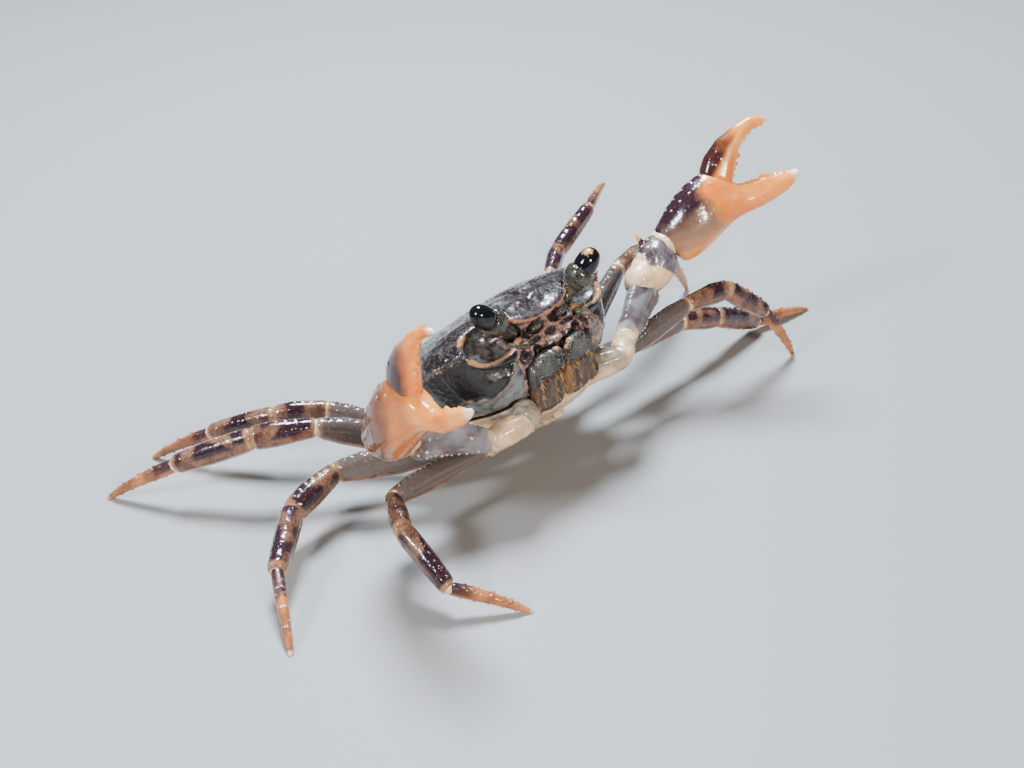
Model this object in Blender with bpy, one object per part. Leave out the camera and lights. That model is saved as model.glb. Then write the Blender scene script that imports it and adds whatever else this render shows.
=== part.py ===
"""Freshwater crab of the genus Potamiscus, life-size, raising its claws on its walking legs.

Sizes are in millimetres and angles in degrees; the finished model is in metres.
World: +Z is up, the crab looks along -Y and its own left is +X.
Body:  x to the crab's left, y to its rear, z up from the widest level of the carapace.
"""
import math

import bmesh
import bpy
from mathutils import Matrix, Vector

MM = 0.001
GAP = 0.3
MODEL_NAME = "freshwater_crab"

# Stance: the body's origin over the middle of the floor that the whole crab covers
BODY_PITCH = 37.0
BODY_ROLL = 3.5
BODY_AT = Vector((-4.8, -1.4, 13.1))
TIP_REACH = 0.25

# Carapace
CARAPACE_WIDTH = 26.4
HALF_WIDTH = CARAPACE_WIDTH / 2
WIDEST_Y = -2.0
FRONT_Y = -10.2
REAR_Y = 10.4
WIDEST_Z = 0.2
DOME_HEIGHT = 4.0
DOME_POWER = 2.2
BODY_SIDES = 40
FRONT_POWER = 3.3
REAR_POWER = 2.3

# Side walls below the widest level: height, half width, front, rear
WALL_LEVELS = (
    (-1.0, 12.8, -10.1, 10.2),
    (-2.4, 12.1, -9.9, 9.7),
    (-3.8, 11.4, -10.0, 9.1),
    (-5.2, 10.7, -9.3, 8.3),
    (-7.0, 9.4, -8.2, 6.9),
    (-8.8, 8.1, -7.0, 5.0),
    (-10.0, 6.4, -5.8, 3.0),
    (-10.5, 4.6, -4.6, 1.0),
)
DOME_LEVELS = (0.22, 0.42, 0.6, 0.76, 0.88, 0.96)

# Plane that parts the carapace from the thorax
SPLIT_Z = -5.7
SPLIT_SLOPE = 0.183

# Front of the carapace
FRONS_HALF_WIDTH = 4.3
ORBIT_CENTRE = (7.7, -9.9, 0.1)
ORBIT_RADII = (3.3, 2.3, 2.0)
ORBIT_RIM = (
    (4.1, -9.8, -1.3), (4.9, -9.85, -1.95), (6.2, -9.8, -2.3), (7.6, -9.55, -2.3),
    (9.0, -9.15, -1.75), (10.1, -8.5, -0.8), (10.7, -8.0, 0.1),
)
ORBIT_RIM_RADIUS = 0.48
FOSSA_CENTRE = (2.05, -10.6, -0.95)
FOSSA_RADII = (1.75, 1.4, 0.85)
EPISTOME_Z = -3.0
VENT_X = 3.0
VENT_RADIUS = 0.6
MARGIN_TEETH = 13

# Eyes: side, direction of the stalk in the world
EYE_ROOT = (4.6, -9.3, 0.1)
EYE_POSE = {
    "left": (0.59, -0.22, 0.78),
    "right": (-0.74, 0.05, 0.67),
}

# Mouth: plane of the outer maxillipeds
MOUTH_TOP = (0.0, -10.05, -3.9)
MOUTH_SLOPE = 56.3

# Legs and claws: roots of the coxae on the body, and where the coxae end
COXA_ROOT = {
    1: (6.0, -6.3, -8.4),
    2: (7.4, -3.3, -8.9),
    3: (8.0, -1.2, -8.2),
    4: (7.8, 2.4, -7.5),
    5: (6.8, 5.6, -6.4),
}
COXA_REACH = {
    1: (2.4, -1.7, -0.6),
    2: (3.3, 0.0, -0.5),
    3: (3.5, 0.0, 0.0),
    4: (3.4, 0.7, 0.2),
    5: (3.6, 1.3, 0.2),
}

# Length of merus, carpus, propodus and dactylus of each pair of walking legs
LEG_LENGTHS = {
    2: (12.4, 5.8, 7.6, 8.6),
    3: (14.2, 6.8, 9.0, 9.6),
    4: (14.0, 7.0, 9.6, 10.0),
    5: (11.8, 6.0, 8.4, 9.0),
}

# Heading from straight ahead and rise of merus, carpus and propodus, then the heading
# of the dactylus, which comes down to the floor unless its own rise is given
LEG_POSES = {
    (2, "right"): ((95, -2), (32, 0), (3, -28), (-41, None)),
    (3, "right"): ((127, -5), (81, -9), (49, -6), (32, None)),
    (4, "right"): ((133, 15), (128, -4), (137, -19), (143, None)),
    (5, "right"): ((148, 18), (134, -5), (142, -17), (147, None)),
    (2, "left"): ((80, 17), (75, 3), (72, -38), (65, None)),
    (3, "left"): ((86, -4), (86, -15), (87, -24), (78, None)),
    (4, "left"): ((104, 29), (104, -6), (105, -28), (106, None)),
    (5, "left"): ((128, 40), (124, 5), (100, 22), (118, -1)),
}

# Claw limbs: length of ischium, merus and carpus
CLAW_ARM = (3.6, 8.6, 5.6)
CLAW_POSES = {
    "left": {"arm": ((122, 7), (114, 18), (94, 46)), "chela": (59, 23), "lean": 25},
    "right": {"arm": ((110, -13), (120, 10), (84, 31)), "chela": (3, 35), "lean": -1},
}

# Palm with its fixed finger, in the claw's own frame:
# distance along, height of the upper and of the lower edge, half thickness
PALM_SECTIONS = (
    (0.5, 1.9, -2.2, 1.5),
    (1.4, 3.1, -3.15, 2.0),
    (3.4, 4.2, -3.15, 2.35),
    (5.6, 5.0, -2.55, 2.4),
    (7.6, 5.25, -1.95, 2.1),
    (8.3, 5.3, -1.75, 1.9),
    (9.4, 4.9, -1.6, 1.75),
    (10.5, 3.6, -1.6, 1.6),
    (11.0, 2.2, -1.6, 1.4),
    (12.4, 1.5, -1.75, 1.2),
    (14.2, 1.1, -1.75, 1.0),
    (16.0, 0.65, -1.55, 0.75),
    (17.3, 0.15, -1.1, 0.45),
    (18.0, -0.2, -0.65, 0.18),
)

# Flat front of the palm that the movable finger sits on: its top, its lean, and where it ends
PALM_FRONT = (8.25, 5.1)
PALM_FRONT_LEAN = 41.0
PALM_FRONT_END = 11.2

# Movable finger: distance and height of its middle line, half height, half thickness
FINGER_PATH = (
    (9.75, 3.8, 1.5, 1.35),
    (10.8, 5.05, 1.38, 1.3),
    (12.2, 6.4, 1.2, 1.15),
    (14.1, 7.35, 0.95, 0.95),
    (15.9, 7.6, 0.72, 0.72),
    (17.1, 7.35, 0.42, 0.45),
    (17.85, 6.9, 0.14, 0.14),
)

COLOURS = {
    "shell": ((0.085, 0.06, 0.058), 0.3),
    "belly": ((0.55, 0.42, 0.3), 0.4),
    "mouth": ((0.16, 0.15, 0.15), 0.35),
    "eye": ((0.01, 0.01, 0.012), 0.08),
    "stalk": ((0.16, 0.14, 0.09), 0.35),
    "leg": ((0.33, 0.2, 0.13), 0.35),
    "leg_tip": ((0.72, 0.3, 0.12), 0.4),
    "claw": ((0.75, 0.36, 0.14), 0.35),
    "arm": ((0.42, 0.36, 0.36), 0.35),
}


def clear_scene():
    for obj in list(bpy.data.objects):
        bpy.data.objects.remove(obj, do_unlink=True)


def new_collection(name):
    collection = bpy.data.collections.new(name)
    bpy.context.scene.collection.children.link(collection)
    return collection


def body_turn():
    """How the body leans back, with its left side raised."""
    pitch = Matrix.Rotation(math.radians(-BODY_PITCH), 3, "X")
    return pitch @ Matrix.Rotation(math.radians(-BODY_ROLL), 3, "Y")


def body_point(x, y, z):
    """World place, in mm, of a point given on the body."""
    return body_turn() @ Vector((x, y, z)) + BODY_AT


def heading(sign, away, rise):
    """Direction that turns away from straight ahead to one side and rises."""
    away, rise = math.radians(away), math.radians(rise)
    level = math.cos(rise)
    return Vector((sign * level * math.sin(away), -level * math.cos(away), math.sin(rise)))


def signed_power(value, power):
    return math.copysign(abs(value) ** power, value)


# Building closed pieces

def loft(rings):
    """Closed piece over rings of points, each ring with the same number."""
    bm = bmesh.new()
    rows = [[bm.verts.new(point) for point in ring] for ring in rings]
    count = len(rows[0])
    for low, high in zip(rows, rows[1:]):
        for i in range(count):
            j = (i + 1) % count
            bm.faces.new((low[i], low[j], high[j], high[i]))
    bm.faces.new(rows[0][::-1])
    bm.faces.new(rows[-1])
    bmesh.ops.recalc_face_normals(bm, faces=bm.faces)
    return bm


def oval(centre, across, up, half_across, half_up, sides=10, power=0.85):
    """Ring of points round a centre, a little squarer than an ellipse."""
    ring = []
    for i in range(sides):
        turn = math.tau * (i + 0.5) / sides
        side = signed_power(math.cos(turn), power) * half_across
        rise = signed_power(math.sin(turn), power) * half_up
        ring.append(centre + across * side + up * rise)
    return ring


def frame_along(direction, lean=0.0):
    """Axes of a limb: across it, and up, leant sideways by an angle."""
    along = direction.normalized()
    across = along.cross(Vector((0, 0, 1))).normalized()
    turn = Matrix.Rotation(math.radians(lean), 3, along)
    across = turn @ across
    return along, across, across.cross(along)


def slide_inside(ring, along, plane_point, plane_normal, margin, at_plane):
    """Slides a ring's points along the limb onto a cut plane, or just clear of it."""
    step = along.dot(plane_normal)
    moved = []
    for point in ring:
        clear = (point - plane_point).dot(plane_normal) - margin
        if at_plane or clear * math.copysign(1, margin) < 0:
            point = point - along * (clear / step)
        moved.append(point)
    return moved


def limb(start, end, start_normal, end_normal, stations, sides=8):
    """Limb piece cut off flat at both joints.

    Each station is a share of the length, half thickness, half height and rise of its centre.
    """
    along, across, up = frame_along(end - start)
    length = (end - start).length
    rings = []
    last = len(stations) - 1
    for i, (share, half_across, half_up, bow) in enumerate(stations):
        centre = start + along * (length * share) + up * bow
        ring = oval(centre, across, up, half_across, half_up, sides)
        ring = slide_inside(ring, along, start, start_normal, GAP / 2 + 0.12 * i, i == 0)
        ring = slide_inside(ring, along, end, end_normal, -GAP / 2 - 0.12 * (last - i), i == last)
        rings.append(ring)
    return loft(rings)


def cone(base, direction, radius, height, sunk, sides=4):
    """Blunt spine with its root sunk below the surface that it stands on."""
    along, across, up = frame_along(direction + Vector((1e-4, 2e-4, 0)))
    root_radius = radius * (1 + 0.5 * sunk / height)
    return loft([
        oval(base - along * sunk, across, up, root_radius, root_radius, sides, 1.0),
        oval(base + along * height, across, up, radius * 0.3, radius * 0.3, sides, 1.0),
    ])


def ball(centre, radii, segments=16, rings=8):
    """Ellipsoid in the body's own axes."""
    bm = bmesh.new()
    bmesh.ops.create_uvsphere(bm, u_segments=segments, v_segments=rings, radius=1.0)
    bmesh.ops.scale(bm, vec=Vector(radii), verts=bm.verts)
    bmesh.ops.translate(bm, vec=Vector(centre), verts=bm.verts)
    return bm


def tube(points, radii, sides=8):
    """Round rod through points, with a radius at each."""
    points = [Vector(p) for p in points]
    rings = []
    for i, point in enumerate(points):
        before = points[max(i - 1, 0)]
        after = points[min(i + 1, len(points) - 1)]
        _, across, up = frame_along((after - before) + Vector((1e-5, 1e-5, 0)))
        rings.append(oval(point, across, up, radii[i], radii[i], sides, 1.0))
    return loft(rings)


def to_body(bm):
    """Turns a piece made in body axes into its place in the world."""
    matrix = Matrix.Translation(BODY_AT) @ body_turn().to_4x4()
    bmesh.ops.transform(bm, matrix=matrix, verts=bm.verts)
    return bm


# Objects

def material(kind):
    name = "crab_" + kind
    if name in bpy.data.materials:
        return bpy.data.materials[name]
    colour, roughness = COLOURS[kind]
    made = bpy.data.materials.new(name)
    made.use_nodes = True
    shader = made.node_tree.nodes["Principled BSDF"]
    shader.inputs["Base Color"].default_value = (*colour, 1)
    shader.inputs["Roughness"].default_value = roughness
    shader.inputs["Metallic"].default_value = 0.0
    made.diffuse_color = (*colour, 1)
    return made


def add_object(name, bm, collection):
    """Adds a piece given in mm as an object in metres."""
    bmesh.ops.scale(bm, vec=(MM, MM, MM), verts=bm.verts)
    mesh = bpy.data.meshes.new(name)
    bm.to_mesh(mesh)
    bm.free()
    obj = bpy.data.objects.new(name, mesh)
    collection.objects.link(obj)
    return obj


def apply_modifiers(obj):
    graph = bpy.context.evaluated_depsgraph_get()
    mesh = bpy.data.meshes.new_from_object(obj.evaluated_get(graph))
    obj.modifiers.clear()
    obj.data = mesh


def boolean(obj, operation, pieces):
    """One Boolean on a collection of closed pieces, applied; the pieces are then removed."""
    group = new_collection(f"cutters_{obj.name}_{operation.lower()}")
    tools = [add_object(f"{obj.name}_tool_{i}", bm, group) for i, bm in enumerate(pieces)]
    for tool in tools:
        tool.hide_render = True
        tool.display_type = "WIRE"
    modifier = obj.modifiers.new(operation.lower(), "BOOLEAN")
    modifier.operation = operation
    modifier.operand_type = "COLLECTION"
    modifier.collection = group
    modifier.solver = "EXACT"
    apply_modifiers(obj)
    for tool in tools:
        bpy.data.objects.remove(tool, do_unlink=True)
    bpy.data.collections.remove(group)


def keep_largest(obj):
    """Keeps the largest closed surface of an object and drops scraps and sealed hollows."""
    bm = bmesh.new()
    bm.from_mesh(obj.data)
    bmesh.ops.remove_doubles(bm, verts=bm.verts, dist=0.000002)
    bmesh.ops.triangulate(bm, faces=bm.faces)
    left = set(bm.faces)
    islands = []
    while left:
        stack = [left.pop()]
        island = set(stack)
        while stack:
            for edge in stack.pop().edges:
                for face in edge.link_faces:
                    if face in left:
                        left.remove(face)
                        island.add(face)
                        stack.append(face)
        islands.append(island)
    biggest = max(islands, key=lambda island: sum(face.calc_area() for face in island))
    scraps = [face for face in bm.faces if face not in biggest]
    bmesh.ops.delete(bm, geom=scraps, context="FACES")
    bm.to_mesh(obj.data)
    bm.free()


def node(name, kind, base, added=(), cut=()):
    """One named piece of the crab: a base, what grows from it, and what is cut out of it."""
    obj = add_object(name, base, CRAB)
    if added:
        boolean(obj, "UNION", added)
    if cut:
        boolean(obj, "DIFFERENCE", cut)
    if added or cut:
        keep_largest(obj)
    obj.data.materials.clear()
    obj.data.materials.append(material(kind))
    obj.data.shade_smooth()
    obj.data.set_sharp_from_angle(angle=math.radians(35))
    return obj


# Body

def plan_ring(half_width, front, rear, height, front_power, rear_power):
    """Outline of the body at one level, from straight ahead round to the left."""
    ring = []
    for i in range(BODY_SIDES):
        turn = math.tau * i / BODY_SIDES
        forward = math.cos(turn)
        power = front_power if forward > 0 else rear_power
        reach = WIDEST_Y - front if forward > 0 else rear - WIDEST_Y
        x = half_width * signed_power(math.sin(turn), 2 / power)
        y = WIDEST_Y - reach * signed_power(forward, 2 / power)
        ring.append(Vector((x, y, height)))
    return ring


def swelling(x, y):
    """Low relief of the carapace: gastric, cardiac and branchial regions and their grooves."""
    def hump(cx, cy, wide, deep, height):
        return height * math.exp(-((x - cx) / wide) ** 2 - ((y - cy) / deep) ** 2)
    total = hump(0, 3.2, 2.4, 2.2, 0.25) + hump(0, -3.0, 3.2, 3.0, 0.2)
    for side in (-1, 1):
        total += hump(side * 2.1, -7.6, 1.5, 0.9, 0.5)
        total += hump(side * 7.2, 0.5, 3.0, 4.2, 0.3)
        total -= hump(side * 3.9, 0.6, 0.8, 2.0, 0.35)
        total -= hump(side * 5.6, -4.6, 1.6, 0.8, 0.3)
    return total


def whole_body():
    """Carapace and thorax as one closed piece, in body axes."""
    rings = []
    for height, half_width, front, rear in reversed(WALL_LEVELS):
        squareness = FRONT_POWER + height * 0.05
        rings.append(plan_ring(half_width, front, rear, height, squareness, REAR_POWER))
    for share in (0.0,) + DOME_LEVELS:
        size = (1 - share ** DOME_POWER) ** (1 / DOME_POWER)
        front = WIDEST_Y + (FRONT_Y - WIDEST_Y) * size
        rear = WIDEST_Y + (REAR_Y - WIDEST_Y) * size
        height = WIDEST_Z + DOME_HEIGHT * share
        ring = plan_ring(HALF_WIDTH * size, front, rear, height, FRONT_POWER, REAR_POWER)
        rings.append([p + Vector((0, 0, share * swelling(p.x, p.y))) for p in ring])
    return loft(rings)


def half_body(upper):
    """Part of the body above or below the plane that parts them."""
    bm = whole_body()
    normal = Vector((0, -SPLIT_SLOPE, 1)).normalized()
    keep = 1 if upper else -1
    point = Vector((0, 0, SPLIT_Z)) + normal * (keep * GAP / 2)
    geometry = bm.verts[:] + bm.edges[:] + bm.faces[:]
    bmesh.ops.bisect_plane(
        bm, geom=geometry, plane_co=point, plane_no=normal,
        clear_inner=upper, clear_outer=not upper,
    )
    rim = [edge for edge in bm.edges if edge.is_boundary]
    bmesh.ops.contextual_create(bm, geom=rim)
    bmesh.ops.recalc_face_normals(bm, faces=bm.faces)
    return bm


def frons():
    """Front of the carapace: a bent-down plate with two low lobes."""
    rings = []
    steps = 10
    for i in range(steps + 1):
        share = 2 * i / steps - 1
        x = FRONS_HALF_WIDTH * share
        rim = 0.2 + 0.95 * share ** 2
        lobe = 0.25 * math.sin(abs(share) * math.pi)
        reach = -10.75 - lobe + 0.45 * share ** 4
        top = 3.1 - 0.5 * share ** 2
        rings.append([
            Vector((x, -8.0, top)),
            Vector((x, -9.5, 2.45 - 0.3 * share ** 2)),
            Vector((x, reach + 0.25, rim + 0.95)),
            Vector((x, reach - 0.12, rim + 0.45)),
            Vector((x, reach, rim)),
            Vector((x, -9.6, rim - 0.1)),
            Vector((x, -8.0, 0.9)),
        ])
    return loft(rings)


def orbit_rim(side):
    """Raised lower edge of the eye socket, out to its corner."""
    points = [(side * x, y, z) for x, y, z in ORBIT_RIM]
    radii = [0.3] + [ORBIT_RIM_RADIUS] * (len(points) - 2) + [0.3]
    return tube(points, radii, sides=6)


def margin_teeth(side):
    """Beaded crest along the front and side edge, largest behind the socket."""
    teeth = []
    for i in range(MARGIN_TEETH):
        share = i / (MARGIN_TEETH - 1)
        turn = math.radians(49 + 52 * share)
        x = HALF_WIDTH * signed_power(math.sin(turn), 2 / FRONT_POWER)
        y = WIDEST_Y - (WIDEST_Y - FRONT_Y) * signed_power(math.cos(turn), 2 / FRONT_POWER)
        outward = Vector((side * math.sin(turn), -0.6 * math.cos(turn), 0.35))
        large = 1.15 if i == 1 else 0.95 - 0.4 * share
        base = Vector((side * (x - 0.15), y, WIDEST_Z + 0.25))
        teeth.append(cone(base, outward, 0.36 * large, 0.5 * large, 0.4))
    return teeth


def epistome():
    """Ridge above the mouth, arched over each vent, with a tooth in the middle."""
    points = []
    for i in range(15):
        x = -4.8 + 9.6 * i / 14
        arch = 0.4 * math.cos(math.tau * (abs(x) - VENT_X) / 3.4)
        tooth = -0.45 * math.exp(-(x / 0.5) ** 2)
        points.append((x, -10.15 + 0.03 * abs(x), EPISTOME_Z + arch + tooth))
    return tube(points, [0.36] * len(points), sides=6)


def mouth_axes():
    slope = math.radians(MOUTH_SLOPE)
    down = Vector((0, math.cos(slope), -math.sin(slope)))
    out = Vector((0, -math.sin(slope), -math.cos(slope)))
    return Vector(MOUTH_TOP), down, out


def mouth_plate(u, v, half_wide, half_long, back, front, grow=0.0):
    """Rounded plate lying on the slope of the mouth."""
    top, down, out = mouth_axes()
    across = Vector((1, 0, 0))
    centre = top + across * u + down * v
    wide, long = half_wide + grow, half_long + grow
    levels = ((back - grow, 1.0), (front - 0.3, 1.0), (front + grow, 0.78))
    return loft([
        oval(centre + out * level, across, down, wide * size, long * size, 16, 0.55)
        for level, size in levels
    ])


def maxilliped(side, grow=0.0):
    """Outer mouth leg: merus above, ischium below, slim exopod outside."""
    merus = mouth_plate(side * 2.3, 1.35, 1.75, 1.45, -0.7, 0.5, grow)
    ischium = mouth_plate(side * 2.15, 4.55, 1.85, 2.05, -0.7, 0.4, grow)
    exopod = mouth_plate(side * 4.35, 3.5, 0.6, 2.9, -0.7, 0.35, grow)
    return merus, [ischium, exopod]


ABDOMEN_PATH = (
    (10.6, -1.6, 4.3), (10.3, -3.2, 4.1), (9.6, -4.9, 3.7), (8.5, -6.5, 3.2),
    (7.0, -7.9, 2.8), (5.2, -9.1, 2.4), (3.2, -10.1, 2.1), (1.0, -10.7, 1.7),
    (-1.2, -10.9, 1.3), (-3.2, -10.85, 0.8),
)


def abdomen_strip(grow=0.0):
    """Narrow tail flap of a male, folded under from the rear, with a ring for each segment."""
    rings = []
    rows = [Vector((0, y, z)) for y, z, _ in ABDOMEN_PATH]
    across = Vector((1, 0, 0))
    for i, (_, _, half_wide) in enumerate(ABDOMEN_PATH):
        before = rows[max(i - 1, 0)]
        after = rows[min(i + 1, len(rows) - 1)]
        along = (after - before).normalized()
        up = along.cross(across)
        ends = (-0.5, 0.5) if grow == 0 else (0.0,)
        for shift in ends:
            step = (after - before).length / (1 if i in (0, len(rows) - 1) else 2)
            place = rows[i] + along * (shift * step * 0.72)
            thick = 0.42 if grow == 0 else 0.5 + grow
            rings.append(oval(place, across, up, half_wide + grow, thick, 12, 0.7))
    if grow:
        first = (rows[0] - rows[1]).normalized() * (1.2 + grow)
        last = (rows[-1] - rows[-2]).normalized() * (0.9 + grow)
        rings.insert(0, [p + first for p in rings[0]])
        rings.append([p + last for p in rings[-1]])
    return loft(rings)


def eye_parts(side_name, grow=0.0):
    """Eyestalk and cornea, as lists of rings along the stalk."""
    side = 1 if side_name == "left" else -1
    root = body_point(side * EYE_ROOT[0], EYE_ROOT[1], EYE_ROOT[2])
    along, across, up = frame_along(Vector(EYE_POSE[side_name]))
    stalk = [
        oval(root + along * s, across, up, r + grow, r + grow, 12, 1.0)
        for s, r in ((-0.5 - grow, 0.8), (0.8, 0.78), (1.9, 0.95), (2.6, 1.12), (3.1, 1.18))
    ]
    cornea = [
        oval(root + along * s, across, up, r + grow, r + grow, 12, 1.0)
        for s, r in ((3.4, 1.2), (4.2, 1.32), (5.0, 1.27), (5.7, 1.02), (6.1, 0.66), (6.25, 0.25))
    ]
    return stalk, cornea


def build_body():
    sides = (("left", 1), ("right", -1))

    grown_mouth = []
    for _, side in sides:
        first, rest = maxilliped(side, GAP)
        grown_mouth += [to_body(piece) for piece in [first] + rest]

    added = [frons(), epistome()]
    cut = [abdomen_strip(GAP)]
    for _, side in sides:
        added.append(orbit_rim(side))
        added += margin_teeth(side)
        x, y, z = ORBIT_CENTRE
        cut.append(ball((side * x, y, z), ORBIT_RADII))
        x, y, z = FOSSA_CENTRE
        cut.append(ball((side * x, y, z), FOSSA_RADII, segments=12, rings=6))
        vent_x = side * VENT_X
        vent = [(vent_x, -11.2, EPISTOME_Z - 0.15), (vent_x, -8.6, EPISTOME_Z - 0.35)]
        cut.append(tube(vent, (VENT_RADIUS, VENT_RADIUS * 0.8)))
    added = [to_body(piece) for piece in added]
    cut = [to_body(piece) for piece in cut] + grown_mouth
    for name, side in sides:
        stalk, _ = eye_parts(name, GAP)
        cut += [loft(stalk), antenna(side, GAP)]
        cut += [coxa(pair, side, GAP) for pair in COXA_ROOT]
    node("carapace", "shell", to_body(half_body(True)), added, cut)

    coxae = [coxa(pair, side) for pair in COXA_ROOT for _, side in sides]
    grown = []
    for _, side in sides:
        first, rest = maxilliped(side, GAP)
        grown += [to_body(piece) for piece in [first] + rest]
    grown.append(to_body(abdomen_strip(GAP)))
    node("thorax", "belly", to_body(half_body(False)), coxae, grown)
    node("abdomen", "belly", to_body(abdomen_strip()))

    for name, side in sides:
        first, rest = maxilliped(side)
        node(f"maxilliped_{name}", "mouth", to_body(first), [to_body(piece) for piece in rest])
        stalk, cornea = eye_parts(name)
        node(f"eyestalk_{name}", "stalk", loft(stalk))
        node(f"eye_{name}", "eye", loft(cornea))
        build_feelers(name, side)


def antenna(side, grow=0.0):
    """Short antenna rising beside the socket."""
    root = Vector((side * 4.0, -10.2, -1.9))
    steps = ((-grow, grow / 2, 0), (0.9, -0.5, -0.1), (2.0, -0.9, 0.25), (3.1, -1.2, 0.9))
    radii = [radius + grow for radius in (0.42, 0.34, 0.27, 0.15)]
    return to_body(tube([root + Vector((side * x, y, z)) for x, y, z in steps], radii, 8))


def build_feelers(name, side):
    """The antenna, and the antennule folded in its hollow under the frons."""
    node(f"antenna_{name}", "stalk", antenna(side))
    x, y, z = FOSSA_CENTRE
    points = [(side * (x - 0.75), y + 0.2, z), (side * x, y + 0.02, z + 0.05), (side * (x + 0.75), y + 0.2, z)]
    node(f"antennule_{name}", "stalk", to_body(tube(points, (0.26, 0.38, 0.26), 8)))


# Limbs

def coxa_points(pair, side):
    x, y, z = COXA_ROOT[pair]
    dx, dy, dz = COXA_REACH[pair]
    root = body_point(side * x, y, z)
    end = body_point(side * (x + dx), y + dy, z + dz)
    return root, end


def coxa(pair, side, grow=0.0):
    """Stub of the thorax that carries a limb."""
    name = "left" if side > 0 else "right"
    root, end = coxa_points(pair, side)
    after = limb_path(pair, name)[2]
    along = (end - root).normalized()
    normal = (along + (after - end).normalized()).normalized()
    radius = (1.8 if pair == 1 else 1.55) + grow
    inner = root - along * (1.5 + grow)
    outer = end + along * (2 * grow)
    stations = ((0.0, radius, radius, 0), (0.55, radius, radius, 0), (1.0, radius * 0.8, radius * 0.8, 0))
    return limb(inner, outer, along, normal, stations)


def limb_path(pair, name):
    """Joints of a limb in the world, from the root of its coxa to its tip."""
    side = 1 if name == "left" else -1
    path = list(coxa_points(pair, side))
    if pair == 1:
        pose = CLAW_POSES[name]
        for length, (away, rise) in zip(CLAW_ARM, pose["arm"]):
            path.append(path[-1] + heading(side, away, rise) * length)
        path.append(path[-1] + heading(side, *pose["chela"]) * 10.0)
        return path
    for length, (away, rise) in zip(LEG_LENGTHS[pair], LEG_POSES[(pair, name)]):
        if rise is None:
            rise = -math.degrees(math.asin(path[-1].z / length))
        path.append(path[-1] + heading(side, away, rise) * length)
    return path


def joint_normals(path):
    """Normal of the flat cut at each joint, halfway between the pieces that meet there."""
    ways = [(b - a).normalized() for a, b in zip(path, path[1:])]
    normals = [ways[0]]
    normals += [(a + b).normalized() for a, b in zip(ways, ways[1:])]
    normals.append(ways[-1])
    return normals


MERUS = ((0.0, 0.8, 0.95, 0), (0.13, 0.85, 1.05, 0), (0.24, 0.8, 1.0, 0), (0.5, 1.0, 1.6, 0.1),
         (0.8, 1.0, 1.45, 0.1), (0.93, 0.9, 1.15, 0), (1.0, 0.85, 1.0, 0))
CARPUS = ((0.0, 0.75, 0.9, 0), (0.2, 0.85, 1.0, 0.05), (0.65, 1.0, 1.3, 0.1), (0.92, 0.95, 1.2, 0),
          (1.0, 0.9, 1.1, 0))
PROPODUS = ((0.0, 0.8, 1.0, 0), (0.15, 0.9, 1.15, 0), (0.55, 0.85, 1.15, 0), (0.9, 0.75, 0.95, 0),
            (1.0, 0.7, 0.85, 0))
DACTYLUS = ((0.0, 0.6, 0.75, 0), (0.2, 0.62, 0.8, 0.1), (0.5, 0.5, 0.62, 0.25), (0.8, 0.38, 0.42, 0.2),
            (1.0, 0.22, 0.22, 0))
LEG_STOUTNESS = {2: 0.9, 3: 1.03, 4: 1.03, 5: 0.92}


def scaled(stations, stout):
    return [(share, a * stout, b * stout, bow * stout) for share, a, b, bow in stations]


def spines_along(start, end, side_angles, shares, reach, radius, height):
    """Rows of short spines, each row at its own angle round the limb from straight up."""
    along, across, up = frame_along(end - start)
    length = (end - start).length
    made = []
    for angle in side_angles:
        out = up * math.cos(math.radians(angle)) + across * math.sin(math.radians(angle))
        for share in shares:
            half_across, half_up, bow = reach(share)
            surface = 1 / math.hypot(math.cos(math.radians(angle)) / half_up,
                                     math.sin(math.radians(angle)) / half_across)
            base = start + along * (length * share) + up * bow + out * (surface * 0.96)
            made.append(cone(base, out + along * 0.5, radius, height, radius * 1.2))
    return made


def reach_of(stations):
    """Half thickness, half height and rise at any share of a limb piece."""
    def at(share):
        for low, high in zip(stations, stations[1:]):
            if share <= high[0]:
                mix = (share - low[0]) / (high[0] - low[0])
                return tuple(a + (b - a) * mix for a, b in zip(low[1:], high[1:]))
        return tuple(stations[-1][1:])
    return at


def build_leg(pair, name):
    path = limb_path(pair, name)
    normals = joint_normals(path)
    stout = LEG_STOUTNESS[pair]
    label = f"leg{pair}_{name}"
    pieces = (("merus", MERUS, "leg"), ("carpus", CARPUS, "leg"),
              ("propodus", PROPODUS, "leg"), ("dactylus", DACTYLUS, "leg_tip"))
    for i, (part, shape, kind) in enumerate(pieces, start=1):
        start, end = path[i], path[i + 1]
        standing = part == "dactylus" and end.z < 0.01
        if standing:
            end = end + (end - start).normalized() * TIP_REACH
        stations = scaled(shape, stout)
        reach = reach_of(stations)
        spines = []
        if part == "merus":
            spines = spines_along(start, end, (0,), (0.45, 0.56, 0.67, 0.78, 0.87), reach, 0.26, 0.28)
        if part == "propodus":
            spines = spines_along(start, end, (0, 180), (0.4, 0.75), reach, 0.2, 0.28)
        if part == "dactylus":
            spines = spines_along(start, end, (25, -25), (0.25, 0.48, 0.7), reach, 0.19, 0.36)
        base = limb(start, end, normals[i], normals[i + 1], stations)
        obj = node(f"{label}_{part}", kind, base, spines)
        if standing:
            trim_to_floor(obj)


def trim_to_floor(obj):
    """Cuts a tip off flat at the floor, so that it stands on a small level face."""
    bm = bmesh.new()
    bm.from_mesh(obj.data)
    geometry = bm.verts[:] + bm.edges[:] + bm.faces[:]
    bmesh.ops.bisect_plane(bm, geom=geometry, plane_co=(0, 0, 0), plane_no=(0, 0, 1), clear_inner=True)
    rim = [edge for edge in bm.edges if edge.is_boundary]
    bmesh.ops.contextual_create(bm, geom=rim)
    bmesh.ops.triangulate(bm, faces=bm.faces)
    bmesh.ops.recalc_face_normals(bm, faces=bm.faces)
    bm.to_mesh(obj.data)
    bm.free()


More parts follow.
